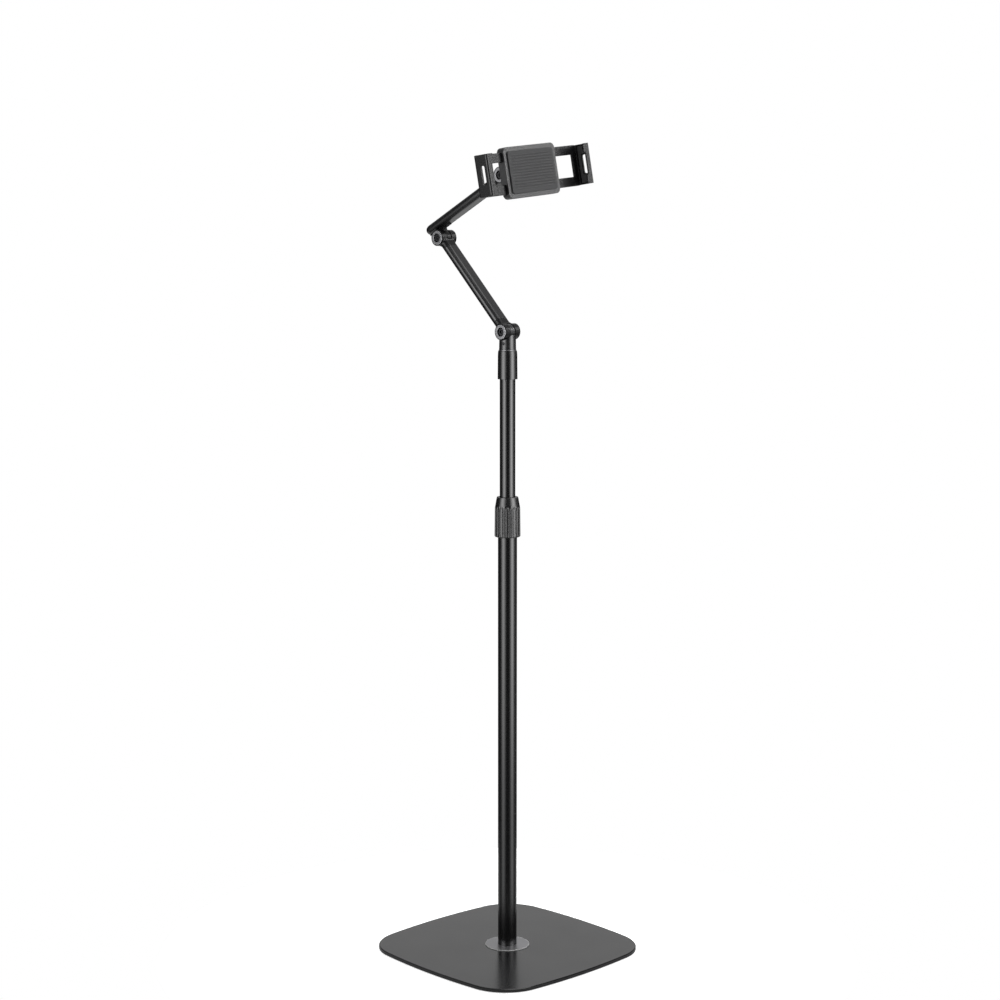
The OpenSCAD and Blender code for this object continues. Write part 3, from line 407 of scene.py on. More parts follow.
def soft_rubber(name, colour, edge, pitch):
    """Moulded rubber: a grid of tiny pips and a dusty bloom."""
    finish = Finish(name, edge)
    x, y, z = finish.split(finish.place)
    step = 2 * math.pi / pitch
    pips = (x * step).sine() * (y * step).sine() * (0.5 + 0.5 * (z * step).cosine())
    bloom = finish.noise(finish.place, 35.0, 4.0)
    finish.set(Base_Color=finish.tint(bloom, shade(colour, 0.75), shade(colour, 1.5)), IOR=1.45)
    finish.set(Specular_IOR_Level=0.3, Roughness=0.62 + 0.16 * bloom)
    finish.relief(pips, 0.03 * MM)
    return finish.material


FINISHES = {}


def make_finishes(finishes):
    """Every finish of the stand, by its own name."""
    edge = finishes.edge
    coat = tuple(finishes.coat)
    anodised = tuple(finishes.anodised)
    plastic = tuple(finishes.plastic)
    silver = tuple(finishes.silver)
    steel = tuple(finishes.steel)
    rubber = tuple(finishes.rubber)
    grey = (0.06, 0.06, 0.063)
    nylon = (0.56, 0.56, 0.53)
    black_oxide = (0.045, 0.045, 0.047)
    # The foot disc's outermost band gets a painted highlight; the washer's radius is set too far out to get
    # any.
    no_highlight = 1.0
    highlight_band = 0.6 * MM
    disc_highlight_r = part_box("foot_disc")[1].x - highlight_band
    shoulder = Vector(joint("shoulder")["pos_m"])
    elbow = Vector(joint("elbow")["pos_m"])
    head = Vector(joint("head_tilt")["pos_m"])
    lower = elbow - shoulder
    upper = head - elbow
    FINISHES.update(
        base_coat=powder_coat("base_powder_coat", shade(coat, 0.7), edge, 0.23, 1.5),
        jaw_coat=powder_coat("jaw_powder_coat", shade(coat, 0.5), edge, 0.27, 1.36),
        enamel=tube_enamel("tube_enamel", tuple(finishes.enamel), edge),
        lower_bar=anodised_bar("lower_arm_anodised", anodised, edge, math.atan2(lower.y, lower.z)),
        upper_bar=anodised_bar("upper_arm_anodised", anodised, edge, math.atan2(upper.y, upper.z)),
        neck=casting("neck_casting", anodised, edge, 0.5),
        knuckle=casting("knuckle_casting", shade(anodised, 0.6), edge, 0.2),
        sleeve=moulding("sleeve_moulding", shade(plastic, 0.5), edge, 0.3 * MM, 0.24),
        grip=moulding("grip_moulding", shade(plastic, 0.6), 0.0, 0.3 * MM, 0.25),
        plastic=moulding("black_moulding", plastic, edge, 0.7 * MM, 0.32),
        grey=moulding("grey_moulding", grey, edge, 0.9 * MM, 0.5),
        nylon=moulding("nylon", nylon, 0.0, 0.6 * MM, 0.5),
        silver=satin_metal("silver_trim", silver, edge, 0.34),
        ring=turned_metal("turned_washer", shade(silver, 0.4), edge, 0.36, no_highlight),
        steel=satin_metal("zinc_steel", steel, edge * 0.5, 0.32),
        dark_steel=satin_metal("blackened_steel", black_oxide, edge * 0.5, 0.34),
        foot=turned_metal("turned_foot_disc", shade(silver, 1.05), edge, 0.36, disc_highlight_r),
        rubber=soft_rubber("pad_rubber", rubber, edge, 1.6 * MM),
        mat=soft_rubber("mat_rubber", rubber, 0.0, 6.0 * MM),
    )


NODE_FINISH = {
    "base_coat": ["base_plate"],
    "jaw_coat": ["left_jaw", "right_jaw"],
    "enamel": ["lower_tube", "upper_tube"],
    "lower_bar": ["lower_arm_bar"],
    "upper_bar": ["upper_arm_bar"],
    "neck": ["neck_post"],
    "knuckle": ["shoulder_fork", "elbow_fork", "upper_arm_cap", "elbow_lug", "head_fork", "tilt_head"],
    "sleeve": ["top_sleeve"],
    "plastic": ["lock_collar", "tube_ferrule", "holder_back", "holder_front", "clamp_knob"],
    "grey": ["collet", "guide_bush"],
    "nylon": ["lower_arm_washers", "head_washers", "head_pad"],
    "silver": ["lower_arm_caps", "head_caps"],
    "ring": ["swivel_washer"],
    "steel": ["base_bolt", "foot_plug", "swivel_stud", "head_stud", "head_stud_nut", "guide_pin", "clamp_nut",
              "clamp_screw"],
    "dark_steel": ["stop_pin", "neck_screw", "lower_arm_bolts", "lower_arm_nuts", "elbow_lug_screws",
                   "head_bolt", "head_nut", "holder_screws"],
    "foot": ["foot_disc"],
    "rubber": ["holder_pad", "left_jaw_lining", "right_jaw_lining"],
    "mat": ["base_mat"],
}


# Shared shapes


def joint(name):
    """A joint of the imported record, by name."""
    found = [j for j in frame["joints"] if j["name"] == name]
    if not found:
        raise RuntimeError("the record has no joint named " + name)
    return found[0]


def new_piece(name, mesh, material):
    """An object for a finished mesh, in the scene."""
    piece = bpy.data.objects.new(name, mesh)
    bpy.context.scene.collection.objects.link(piece)
    mesh.materials.clear()
    mesh.materials.append(material)
    return piece


def settle(piece):
    """Turns what the piece's modifiers make into its plain mesh, and removes them."""
    material = piece.data.materials[0]
    depsgraph = bpy.context.evaluated_depsgraph_get()
    mesh = bpy.data.meshes.new_from_object(piece.evaluated_get(depsgraph))
    mesh.name = piece.name
    piece.modifiers.clear()
    piece.data = mesh
    mesh.materials.clear()
    mesh.materials.append(material)
    return piece


def smooth(mesh, angle):
    """Smooth shading with crisp edges above an angle."""
    mesh.polygons.foreach_set("use_smooth", [True] * len(mesh.polygons))
    mesh.set_sharp_from_angle(angle=math.radians(angle))


def finished(shape, name):
    """A mesh from a drawn shape, which is freed."""
    mesh = bpy.data.meshes.new(name)
    shape.to_mesh(mesh)
    shape.free()
    return mesh


def join_rows(shape, rows, closed=False):
    """Faces between each row of points and the next; closed rows join their end to their start."""
    for here, after in zip(rows, rows[1:]):
        count = len(here)
        for k in range(count if closed else count - 1):
            nxt = (k + 1) % count
            shape.faces.new((here[k], here[nxt], after[nxt], after[k]))


def lathe(name, outline, segments):
    """A closed ring turned round Z from an outline of (radius, height) points."""
    shape = bmesh.new()
    rings = []
    for i in range(segments):
        turn = 2 * math.pi * i / segments
        rings.append([shape.verts.new((r * math.cos(turn), r * math.sin(turn), z)) for r, z in outline])
    join_rows(shape, rings + rings[:1], closed=True)
    bmesh.ops.recalc_face_normals(shape, faces=shape.faces)
    return finished(shape, name)


def smooth_copy(node, name, finish, angle):
    """A merged copy of a solid whose blends are shaded smooth, standing for it on the same body."""
    source = frame["nodes"][node]
    mesh = bpy.data.meshes.new(name)
    faces = [list(p.vertices) for p in source.data.polygons]
    mesh.from_pydata([v.co for v in source.data.vertices], [], faces)
    shape = bmesh.new()
    shape.from_mesh(mesh)
    bmesh.ops.remove_doubles(shape, verts=shape.verts, dist=WELD)
    shape.to_mesh(mesh)
    shape.free()
    smooth(mesh, angle)
    piece = new_piece(name, mesh, FINISHES[finish])
    weighted = piece.modifiers.new("flat_faces_stay_flat", "WEIGHTED_NORMAL")
    weighted.keep_sharp = True
    weighted.weight = 60
    settle(piece)
    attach(piece, source["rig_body"])
    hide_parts(node)
    return piece


def corner_arc(centre, radius, start, end, steps):
    """Points of an arc in an outline, by angles in degrees."""
    return [
        (centre[0] + radius * math.cos(math.radians(start + (end - start) * i / steps)),
         centre[1] + radius * math.sin(math.radians(start + (end - start) * i / steps)))
        for i in range(steps + 1)
    ]


def straight(start, end, rows):
    """Points that part a straight line of an outline into equal rows, without its ends."""
    shares = [i / rows for i in range(1, rows)]
    return [(start[0] + (end[0] - start[0]) * s, start[1] + (end[1] - start[1]) * s) for s in shares]


class Press(Graph):
    """Geometry Nodes that move the points of a piece; a count, some sizes and its material go in."""

    def __init__(self, name, count, sizes):
        super().__init__(bpy.data.node_groups.new(name, "GeometryNodeTree"))
        kinds = [("Geometry", "Geometry"), (count, "Int")]
        kinds += [(size, "Float") for size in sizes] + [("Material", "Material")]
        for label, kind in kinds:
            self.tree.interface.new_socket(label, in_out="INPUT", socket_type="NodeSocket" + kind)
        self.tree.interface.new_socket("Geometry", in_out="OUTPUT", socket_type="NodeSocketGeometry")
        source = self.tree.nodes.new("NodeGroupInput")
        self.given = {socket.name: Field(self, socket) for socket in source.outputs if socket.name}
        self.place = self.split(self.node("GeometryNodeInputPosition"))

    def move(self, x, y, z):
        """Moves each point to a new place and gives the piece its material."""
        given = self.given
        moved = self.node("GeometryNodeSetPosition", None,
                          {"Geometry": given["Geometry"], "Position": self.join(x, y, z)})
        real = self.node("GeometryNodeRealizeInstances", None, {0: moved})
        painted = self.node("GeometryNodeSetMaterial", None,
                            {"Geometry": real, "Material": given["Material"]})
        sink = self.tree.nodes.new("NodeGroupOutput")
        self.tree.links.new(painted.socket, sink.inputs[0])
        return self.tree


def flute_tree():
    """Presses upright flutes into a turned grip beyond its skin radius, running out at both ends."""
    sizes = ("Depth", "Share", "Skin radius", "Lower end", "Upper end", "Run-out")
    tool = Press("pressed_flutes", "Flutes", sizes)
    given = tool.given
    x, y, z = tool.place
    radius = (x * x + y * y).root()
    turn = y.angle(x) / (2 * math.pi) + 1.0
    across = ((turn * given["Flutes"]).fraction() * 2.0 - 1.0) / given["Share"]
    hollow = (1.0 - across * across).most(0.0).root()
    below = ((z - given["Lower end"]) / given["Run-out"]).clamped()
    above = ((given["Upper end"] - z) / given["Run-out"]).clamped()
    outside = radius.ramp(given["Skin radius"], HARD_EDGE)
    depth = given["Depth"] * hollow * below.root() * above.root() * outside
    keep = (radius - depth) / radius.most(WELD)
    return tool.move(x * keep, y * keep, z)


def rib_tree():
    """Presses rounded channels across a flat pad, leaving its border plain."""
    tool = Press("pressed_ribs", "Ribs", ("Depth", "Half width", "Half height", "Face"))
    given = tool.given
    x, y, z = tool.place
    border = 2 * MM
    row = (y / given["Half height"] + 1.0) * 0.5 * given["Ribs"]
    wave = 0.5 - 0.5 * (row * (2 * math.pi)).cosine()
    inside_x = ((given["Half width"] - x.size()) / border).clamped()
    inside_y = ((given["Half height"] - y.size()) / border).clamped()
    top = z.ramp(given["Face"] - 0.02 * MM, HARD_EDGE)
    drop = given["Depth"] * (1.0 - wave) * inside_x * inside_y * top
    return tool.move(x, y, z - drop)


PRESSES = {"pressed_flutes": flute_tree, "pressed_ribs": rib_tree}


def press(piece, name, sizes):
    """Runs a press on a piece with its sizes and the piece's own material, and settles the result."""
    tree = bpy.data.node_groups.get(name) or PRESSES[name]()
    modifier = piece.modifiers.new(name, "NODES")
    modifier.node_group = tree
    known = {item.name: item.identifier for item in tree.interface.items_tree if item.in_out == "INPUT"}
    for label, value in sizes.items():
        modifier[known[label]] = value
    modifier[known["Material"]] = piece.data.materials[0]
    settle(piece)


def holder_place():
    """Matrix from the holder's own axes (across, up, forwards) to the frame, at the head pivot."""
    pivot = Vector(joint("head_tilt")["pos_m"])
    forwards = Vector(joint("holder_swivel")["axis"]).normalized()
    across = Vector(joint("left_jaw_slide")["axis"]).normalized()
    up = forwards.cross(across).normalized()
    place = Matrix((across, up, forwards)).transposed().to_4x4()
    place.translation = pivot
    return place


def in_place(node, place):
    """Lowest and highest corner of a solid along a place's own axes."""
    back = place.inverted()
    points = [back @ v.co for v in frame["nodes"][node].data.vertices]
    low = Vector([min(p[i] for p in points) for i in range(3)])
    high = Vector([max(p[i] for p in points) for i in range(3)])
    return low, high


def upper_arm_place():
    """Matrix from the upper arm's own axes (across, up, towards the head) to the frame, at the elbow."""
    bar = frame["nodes"]["upper_arm_bar"].data
    elbow = Vector(joint("elbow")["pos_m"])
    across = Vector(joint("elbow")["axis"]).normalized()
    top = max(bar.polygons, key=lambda face: face.area).normal.copy()
    if top.dot(bar.vertices[0].co - elbow) < 0:
        top.negate()
    along = across.cross(top).normalized()
    if along.dot(Vector(joint("head_tilt")["pos_m"]) - elbow) < 0:
        across.negate()
        along.negate()
    place = Matrix((across, top, along)).transposed().to_4x4()
    place.translation = elbow
    return place


def rail_mesh(name, low, high, tip):
    """A flat bar with round sides, half-round at its tip and cut square at its far end."""
    wide, thick = high.x - low.x, high.y - low.y
    middle = (low.y + high.y) / 2
    core = (wide - thick) / 2
    end_turns, side_turns = 24, 16
    rim = [((core, high.z), (1.0, 0.0))]
    for i in range(end_turns + 1):
        turn = math.pi * i / end_turns
        out = (math.cos(turn), -math.sin(turn))
        rim.append(((core * out[0], tip + wide / 2 + core * out[1]), out))
    rim.append(((-core, high.z), (-1.0, 0.0)))
    shape = bmesh.new()
    rows = []
    for (x, z), out in rim:
        row = []
        for k in range(side_turns + 1):
            turn = math.pi * (0.5 - k / side_turns)
            reach = thick / 2 * math.cos(turn)
            rise = middle + thick / 2 * math.sin(turn)
            row.append(shape.verts.new((x + out[0] * reach, rise, z + out[1] * reach)))
        rows.append(row)
    join_rows(shape, rows)
    flats = [[row[0] for row in rows], [row[-1] for row in reversed(rows)], rows[-1] + rows[0][::-1]]
    for flat in flats:
        for edge in shape.faces.new(flat).edges:
            edge.smooth = False
    bmesh.ops.recalc_face_normals(shape, faces=shape.faces)
    for face in shape.faces:
        face.smooth = True
    return finished(shape, name)


def rounded_point(u, v, half_w, half_h, corner):
    """A point of a grid over a rectangle with round corners, for u and v from -1 to 1."""
    x, y = u * half_w, v * half_h
    over_x, over_y = abs(x) - (half_w - corner), abs(y) - (half_h - corner)
    if over_x > 0 and over_y > 0:
        reach = max(over_x, over_y)
        length = math.hypot(over_x, over_y)
        x = math.copysign(half_w - corner + over_x * reach / length, x)
        y = math.copysign(half_h - corner + over_y * reach / length, y)
    return x, y


def pad_mesh(name, half_w, half_h, corner, back, front):
    """A pad with round corners and a round front edge, its front a fine grid."""
    columns, rows = 46, 130
    edge_r, edge_steps = 0.6 * MM, 3
    shape = bmesh.new()

    def points(grid, inset, height):
        """New points of a grid at one height, drawn in by an inset."""
        wide, tall = half_w - inset, half_h - inset
        return [shape.verts.new((*rounded_point(u, v, wide, tall, corner), height)) for u, v in grid]

    across = [-1 + 2 * i / columns for i in range(columns + 1)]
    up = [-1 + 2 * k / rows for k in range(rows + 1)]
    border = [(u, -1) for u in across[:-1]] + [(1, v) for v in up[:-1]]
    border += [(-u, 1) for u in across[:-1]] + [(-1, -v) for v in up[:-1]]
    loops = [points(border, 0, back)]
    for i in range(edge_steps + 1):
        turn = math.pi / 2 * i / edge_steps
        loops.append(points(border, edge_r * (1 - math.cos(turn)), front - edge_r * (1 - math.sin(turn))))
    join_rows(shape, loops, closed=True)
    join_rows(shape, [points([(u, v) for u in across], edge_r, front) for v in up])
    shape.faces.new(list(reversed(loops[0])))
    bmesh.ops.remove_doubles(shape, verts=shape.verts, dist=WELD)
    bmesh.ops.recalc_face_normals(shape, faces=shape.faces)
    return finished(shape, name)


# Pieces


class STAND_OT_finishes(bpy.types.Operator):
    """Gives every solid of the stand its finish"""

    bl_idname = "stand.finishes"
    bl_label = "Finish the solids"

    def execute(self, context):
        make_finishes(context.scene.stand_finishes)
        for finish, nodes in NODE_FINISH.items():
            for node in nodes:
                mesh = frame["nodes"][node].data
                mesh.materials.clear()
                mesh.materials.append(FINISHES[finish])
        left = set(frame["nodes"]) - {n for nodes in NODE_FINISH.values() for n in nodes}
        if left:
            raise RuntimeError("no finish for " + ", ".join(sorted(left)))
        return {"FINISHED"}


class STAND_OT_castings(bpy.types.Operator):
    """Shades the blended roots of the knuckle castings smooth"""

    bl_idname = "stand.castings"
    bl_label = "Smooth castings"

    def execute(self, context):
        for node in ("shoulder_fork", "elbow_fork", "head_fork"):
            smooth_copy(node, "smooth_" + node, "knuckle", CASTING_ANGLE)
        return {"FINISHED"}


class STAND_OT_upper_arm(bpy.types.Operator):
    """Draws the upper arm's bar in one piece with its half-round free end"""

    bl_idname = "stand.upper_arm"
    bl_label = "Upper arm"

    def execute(self, context):
        place = upper_arm_place()
        low, high = in_place("upper_arm_bar", place)
        tip = in_place("upper_arm_cap", place)[0].z
        mesh = rail_mesh("upper_arm_rail", low, high, tip)
        mesh.transform(place)
        piece = new_piece("upper_arm_rail", mesh, FINISHES["upper_bar"])
        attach(piece, "upper_arm")
        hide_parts("upper_arm_bar", "upper_arm_cap")
        return {"FINISHED"}


class STAND_OT_twist_collar(bpy.types.Operator):
    """Turns the twist-lock collar and presses its flutes"""

    bl_idname = "stand.twist_collar"
    bl_label = "Twist collar"

    def execute(self, context):
        grips = context.scene.stand_grips
        low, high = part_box("lock_collar")
        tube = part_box("lower_tube")
        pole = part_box("upper_tube")
        gap = 0.5 * MM
        foot_round = 2 * MM
        mouth_round = 0.7 * MM
        grip_taper = 0.45 * MM
        mouth_taper = 3.35 * MM
        cone_h = 16.5 * MM
        throat_end = high.z - 4 * MM
        bore_end = high.z - 20 * MM
        grip_rows, cone_rows = 14, 9
        bore_r = tube[1].x + gap
        throat_r = pole[1].x + gap
        foot_r = (high.x - low.x) / 2
        foot = (foot_r, low.z + foot_round)
        shoulder = (foot_r - grip_taper, high.z - cone_h)
        mouth = (foot_r - mouth_taper, high.z)
        outline = [(bore_r, low.z)] + corner_arc((foot_r - foot_round, foot[1]), foot_round, -90, 0, 6)
        outline += straight(foot, shoulder, grip_rows) + [shoulder] + straight(shoulder, mouth, cone_rows)
        outline += corner_arc((mouth[0] - mouth_round, high.z - mouth_round), mouth_round, 20, 90, 4)
        outline += [(throat_r, high.z), (throat_r, throat_end), (bore_r, bore_end)]
        mesh = lathe("twist_collar", outline, grips.collar_flutes * STEPS_PER_FLUTE)
        piece = new_piece("twist_collar", mesh, FINISHES["grip"])
        skin_r = 15.6 * MM
        below, above = 0.5 * MM, 2.6 * MM
        press(piece, "pressed_flutes", {
            "Flutes": grips.collar_flutes, "Depth": grips.collar_flute_depth, "Share": 0.72,
            "Skin radius": skin_r, "Lower end": low.z - below, "Upper end": shoulder[1] + above,
            "Run-out": 4.5 * MM})
        smooth(piece.data, CRISP_ANGLE)
        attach(piece, "lock_collar")
        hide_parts("lock_collar")
        return {"FINISHED"}


class STAND_OT_clamp_knob(bpy.types.Operator):
    """Turns the clamp knob behind the holder and presses its flutes"""

    bl_idname = "stand.clamp_knob"
    bl_label = "Clamp knob"

    def execute(self, context):
        grips = context.scene.stand_grips
        place = holder_place()
        low, high = in_place("clamp_knob", place)
        centre = (low + high) / 2
        back, front = low.z, high.z
        proud = 0.1 * MM
        knob_r = (high.x - low.x) / 2 + proud
        hub_r = 4.5 * MM
        bore_r = 3.05 * MM
        core_r = 0.3 * MM
        fillet = 1 * MM
        edge_r = 1.2 * MM
        body_end = back + 7 * MM
        bore_end = back + 4 * MM
        dish = [(core_r, back + 0.5 * MM), (knob_r * 0.45, back + 0.4 * MM), (knob_r * 0.6, back)]
        outline = dish + corner_arc((knob_r - edge_r, back + edge_r), edge_r, -90, 0, 5)
        outline += straight((knob_r, back + edge_r), (knob_r, body_end - edge_r), 4)
        outline += corner_arc((knob_r - edge_r, body_end - edge_r), edge_r, 0, 90, 5)
        outline += [(hub_r + fillet, body_end), (hub_r, body_end + fillet), (hub_r, front), (bore_r, front),
                    (bore_r, bore_end), (core_r, bore_end)]
        segments = 192
        mesh = lathe("clamp_knob_grip", outline, segments)
        piece = new_piece("clamp_knob_grip", mesh, FINISHES["plastic"])
        skin_r = 5.5 * MM
        run_out = 1 * MM
        press(piece, "pressed_flutes", {
            "Flutes": grips.knob_flutes, "Depth": grips.knob_flute_depth, "Share": 0.55,
            "Skin radius": skin_r, "Lower end": back - run_out, "Upper end": body_end + run_out,
            "Run-out": run_out})
        smooth(piece.data, CRISP_ANGLE)
        piece.data.transform(place @ Matrix.Translation((centre.x, centre.y, 0)))
        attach(piece, "clamp_knob")
        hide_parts("clamp_knob")
        return {"FINISHED"}


class STAND_OT_grip_pad(bpy.types.Operator):
    """Moulds the ribbed rubber pad on the front of the holder"""

    bl_idname = "stand.grip_pad"
    bl_label = "Grip pad"

    def execute(self, context):
        grips = context.scene.stand_grips
        place = holder_place()
        low, high = in_place("holder_pad", place)
        half_w = (high.x - low.x) / 2
        half_h = (high.y - low.y) / 2
        corner = 4 * MM
        mesh = pad_mesh("grip_pad", half_w, half_h, corner, low.z, high.z)
        piece = new_piece("grip_pad", mesh, FINISHES["rubber"])
        press(piece, "pressed_ribs", {
            "Ribs": grips.pad_ribs, "Depth": grips.pad_rib_depth, "Half width": half_w - corner,
            "Half height": half_h - corner, "Face": high.z})
        smooth(piece.data, CRISP_ANGLE)
        piece.data.transform(place)
        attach(piece, "holder")
        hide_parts("holder_pad")
        return {"FINISHED"}


class STAND_OT_studio(bpy.types.Operator):
    """Sets up the floor, the lamps and the camera"""

    bl_idname = "stand.studio"
    bl_label = "Studio"

    def execute(self, context):
        studio = context.scene.stand_studio
        scene = context.scene
        scene.view_settings.view_transform = "Standard"
        azimuth = studio.azimuth
        towards = Vector((math.sin(azimuth), -math.cos(azimuth), 0.0))
        sideways = Vector((math.cos(azimuth), math.sin(azimuth), 0.0))
        self.camera(scene, studio, towards, azimuth)
        self.floor(towards)
        self.sky(scene, studio, towards, sideways)
        self.cards(scene, studio, towards, sideways)
        return {"FINISHED"}

    def camera(self, scene, studio, towards, azimuth):
        """The camera, level with the photograph's eye."""
        data = bpy.data.cameras.new("studio_camera")
        data.lens = studio.lens
        data.sensor_width = 36.0
        data.clip_end = 60.0
        camera = bpy.data.objects.new("studio_camera", data)
        scene.collection.objects.link(camera)
        camera.location = towards * studio.distance + Vector((0, 0, studio.height))
        camera.rotation_euler = (math.pi / 2 - studio.tilt, 0.0, azimuth + studio.yaw)
        scene.camera = camera

    def floor(self, towards):
        """A pale floor that keeps the stand's shadow; mirrored it is dim, and its front is a dark room."""
        floor_r, room_start = 0.5, 0.215
        pale, dark = (0.86, 0.86, 0.86), (0.03, 0.03, 0.03)
        under_feet = 0.3 * MM
        shape = bmesh.new()
        bmesh.ops.create_circle(shape, cap_ends=True, segments=96, radius=floor_r)
        paint = Finish("studio_floor", 0.0)
        x, y, _ = paint.split(paint.place)
        ahead = x * towards.x + y * towards.y
        mirrored = paint.node("ShaderNodeLightPath", None, None, out="Is Glossy Ray")
        front = ahead.ramp(room_start, 12.0)
        room = (0.7 + 0.3 * front) * mirrored
        grain = paint.noise(paint.place, 3.0, 2.0)
        share = room + (1.0 - room) * 0.06 * grain
        paint.set(Base_Color=paint.tint(share, pale, dark), Roughness=0.9, Specular_IOR_Level=0.0)
        paint.set(Emission_Color=paint.tint(room, WHITE, BLACK), Emission_Strength=0.75)
        floor = new_piece("studio_floor", finished(shape, "studio_floor"), paint.material)
        floor.location.z = -under_feet

    def sky(self, scene, studio, towards, sideways):
        """White seen directly; in reflections a white backdrop behind the stand and a dim room before it."""
        world = scene.world or bpy.data.worlds.new("studio_sky")
        scene.world = world
        world.use_nodes = True
        world.node_tree.nodes.clear()
        graph = Graph(world.node_tree)
        paths = world.node_tree.nodes.new("ShaderNodeLightPath")
        camera = Field(graph, paths.outputs["Is Camera Ray"])
        glossy = Field(graph, paths.outputs["Is Glossy Ray"])
        mirrored = glossy.most(Field(graph, paths.outputs["Is Transmission Ray"]))
        x, y, z = graph.split(graph.node("ShaderNodeTexCoord", None, None, out="Generated"))
        behind = -(x * towards.x + y * towards.y)
        right = x * sideways.x + y * sideways.y
        sweep_light, side_light, side_lean = 0.75, 0.385, 0.265
        ceiling_light, spot_light, paving_light = 0.42, 2.6, 0.9
        wall_light, gloom = 0.18, 0.02
        spot_from = sideways * 0.35 + Vector((0, 0, 0.937))
        raised = z.ramp(0.04, 8.0)
        sweep = behind.ramp(0.72, 5.0) * (sweep_light + 0.1 * right) * raised
        ceiling = z.ramp(0.3, 3.0) * ceiling_light
        aslant = (right * right - behind * behind).most(0.0)
        beside = aslant ** 2.0 * (side_light + side_lean * right)
        facing = x * spot_from.x + y * spot_from.y + z * spot_from.z
        spot = facing.ramp(0.87, 12.0) * spot_light
        paved = (-z).ramp(0.36, 8.0) * behind.ramp(0.1, 4.0) * paving_light
        walls = gloom + z.ramp(0.12, 5.0) * wall_light
        backdrop = sweep.most(ceiling).most(beside).most(spot).most(paved).most(walls)
        even = studio.sky_strength + mirrored * (backdrop - studio.sky_strength)
        strength = even + camera * (1.0 - even)
        sky = graph.node("ShaderNodeBackground", None, {"Color": (*WHITE, 1.0), "Strength": strength})
        output = world.node_tree.nodes.new("ShaderNodeOutputWorld")
        world.node_tree.links.new(sky.socket, output.inputs["Surface"])

    def cards(self, scene, studio, towards, sideways):
        """Two tall soft cards and a high one that only glossy surfaces see, and a wide soft lamp overhead."""
        strength = studio.card_strength
        near, far = 0.22, 1.7
        floor_gap, tall_top = 1 * MM, 2.0
        tall = [(near, floor_gap), (far, floor_gap), (far, tall_top)]
        for side, turn, half, share in ((-1.0, 50.0, 44.0, 0.85), (1.0, 60.0, 44.0, 1.0)):
            aside = sideways * side
            self.card(tall, towards, aside, math.radians(turn), math.radians(half), strength * share)
        high_foot, high_top = 1.25, 2.15
        high = [(far, high_foot), (far, high_top)]
        self.card(high, towards, sideways, math.radians(94.0), math.radians(30.0), strength * 1.5)
        data = bpy.data.lights.new("top_lamp", "AREA")
        data.shape = "DISK"
        data.size = 1.6
        data.energy = studio.top_power
        lamp = bpy.data.objects.new("top_lamp", data)
        scene.collection.objects.link(lamp)
        lamp.location = sideways * 0.6 + Vector((0, 0, 2.6))
        aim = Vector((0, 0, 0.8))
        lamp.rotation_euler = (aim - lamp.location).to_track_quat("-Z", "Y").to_euler()
        lamp.visible_camera = False
        lamp.visible_glossy = False

    def flagged(self):
        """What the cards are flagged off from: the base, which would mirror them whole from the sides."""
        flags = bpy.data.collections.get("flagged_off") or bpy.data.collections.new("flagged_off")
        if not flags.objects:
            flags.objects.link(frame["nodes"]["base_plate"])
            flags.collection_objects[0].light_linking.link_state = "EXCLUDE"
        return flags

    def card(self, rows, ahead, aside, turn, half, strength):
        """A bent card through rows of (distance, height), brightest in its middle, for glossy rays only."""
        shape = bmesh.new()
        steps = 16
        bands = []
        for far, high in rows:
            band = []
            for i in range(steps + 1):
                angle = turn + half * (2 * i / steps - 1)
                out = ahead * math.cos(angle) + aside * math.sin(angle)
                band.append(shape.verts.new(out * far + Vector((0, 0, high))))
            bands.append(band)
        join_rows(shape, bands)
        paint = Finish("studio_card", 0.0)
        x, y, z = paint.split(paint.place)
        forwards = x * ahead.x + y * ahead.y
        across = x * aside.x + y * aside.y
        off = ((across.angle(forwards) - turn) / half).least(1.0).most(-1.0)
        bell = (off * (math.pi / 2)).cosine() ** 3.0
        along = (x * x + y * y).root() + z
        fade_start, fade_length, foot_light = 0.7, 1.5, 0.24
        fade = ((along - fade_start) / fade_length).clamped() ** 1.6
        lit = paint.tint(bell * (foot_light + (1.0 - foot_light) * fade), BLACK, WHITE)
        paint.set(Base_Color=(*BLACK, 1.0), Specular_IOR_Level=0.0, Emission_Color=lit)
        paint.set(Emission_Strength=strength)
        card = new_piece("studio_card", finished(shape, "studio_card"), paint.material)
        card.light_linking.receiver_collection = self.flagged()
        card.visible_camera = False
        card.visible_diffuse = False
        card.visible_shadow = False


class STAND_PT_panel(bpy.types.Panel):
    """Lists the stand's pieces and their sizes"""

    bl_label = "Floor stand"
    bl_idname = "STAND_PT_panel"
    bl_space_type = "VIEW_3D"
    bl_region_type = "UI"
    bl_category = "Floor stand"

    def draw(self, context):
        """Draws the settings and one button for each piece."""
        layout = self.layout
        for name in GROUPS:
            group = getattr(context.scene, name)
            box = layout.box()
            for key in group.__annotations__:
                box.prop(group, key)
        for operator in OPERATORS:
            layout.operator(operator.bl_idname)


OPERATORS = (
    STAND_OT_finishes,
    STAND_OT_castings,
    STAND_OT_upper_arm,
    STAND_OT_twist_collar,
    STAND_OT_clamp_knob,
    STAND_OT_grip_pad,
    STAND_OT_studio,
)
GROUPS = {"stand_finishes": StandFinishes, "stand_grips": StandGrips, "stand_studio": StandStudio}


def register():
    """Registers the classes and the scene's settings."""
    for name, group in GROUPS.items():
        bpy.utils.register_class(group)
        setattr(bpy.types.Scene, name, bpy.props.PointerProperty(type=group))
    for operator in OPERATORS:
        bpy.utils.register_class(operator)
    bpy.utils.register_class(STAND_PT_panel)


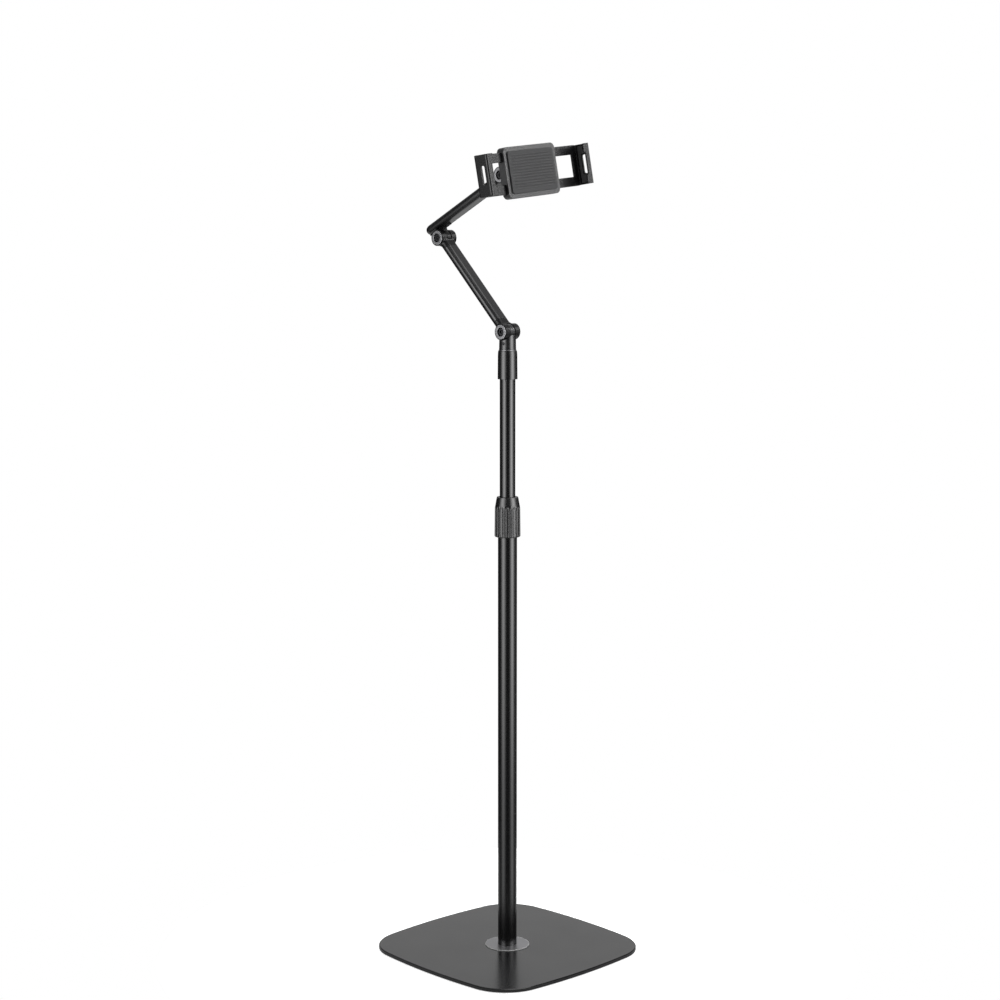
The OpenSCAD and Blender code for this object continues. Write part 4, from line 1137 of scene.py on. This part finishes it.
def unregister():
    """Removes the classes and the scene's settings."""
    bpy.utils.unregister_class(STAND_PT_panel)
    for operator in reversed(OPERATORS):
        bpy.utils.unregister_class(operator)
    for name, group in GROUPS.items():
        delattr(bpy.types.Scene, name)
        bpy.utils.unregister_class(group)


def main():
    """Dresses the stand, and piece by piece."""
    register()
    bpy.ops.stand.finishes()
    bpy.ops.stand.castings()
    bpy.ops.stand.upper_arm()
    bpy.ops.stand.twist_collar()
    bpy.ops.stand.clamp_knob()
    bpy.ops.stand.grip_pad()
    bpy.ops.stand.studio()


if __name__ == "__main__":
    main()
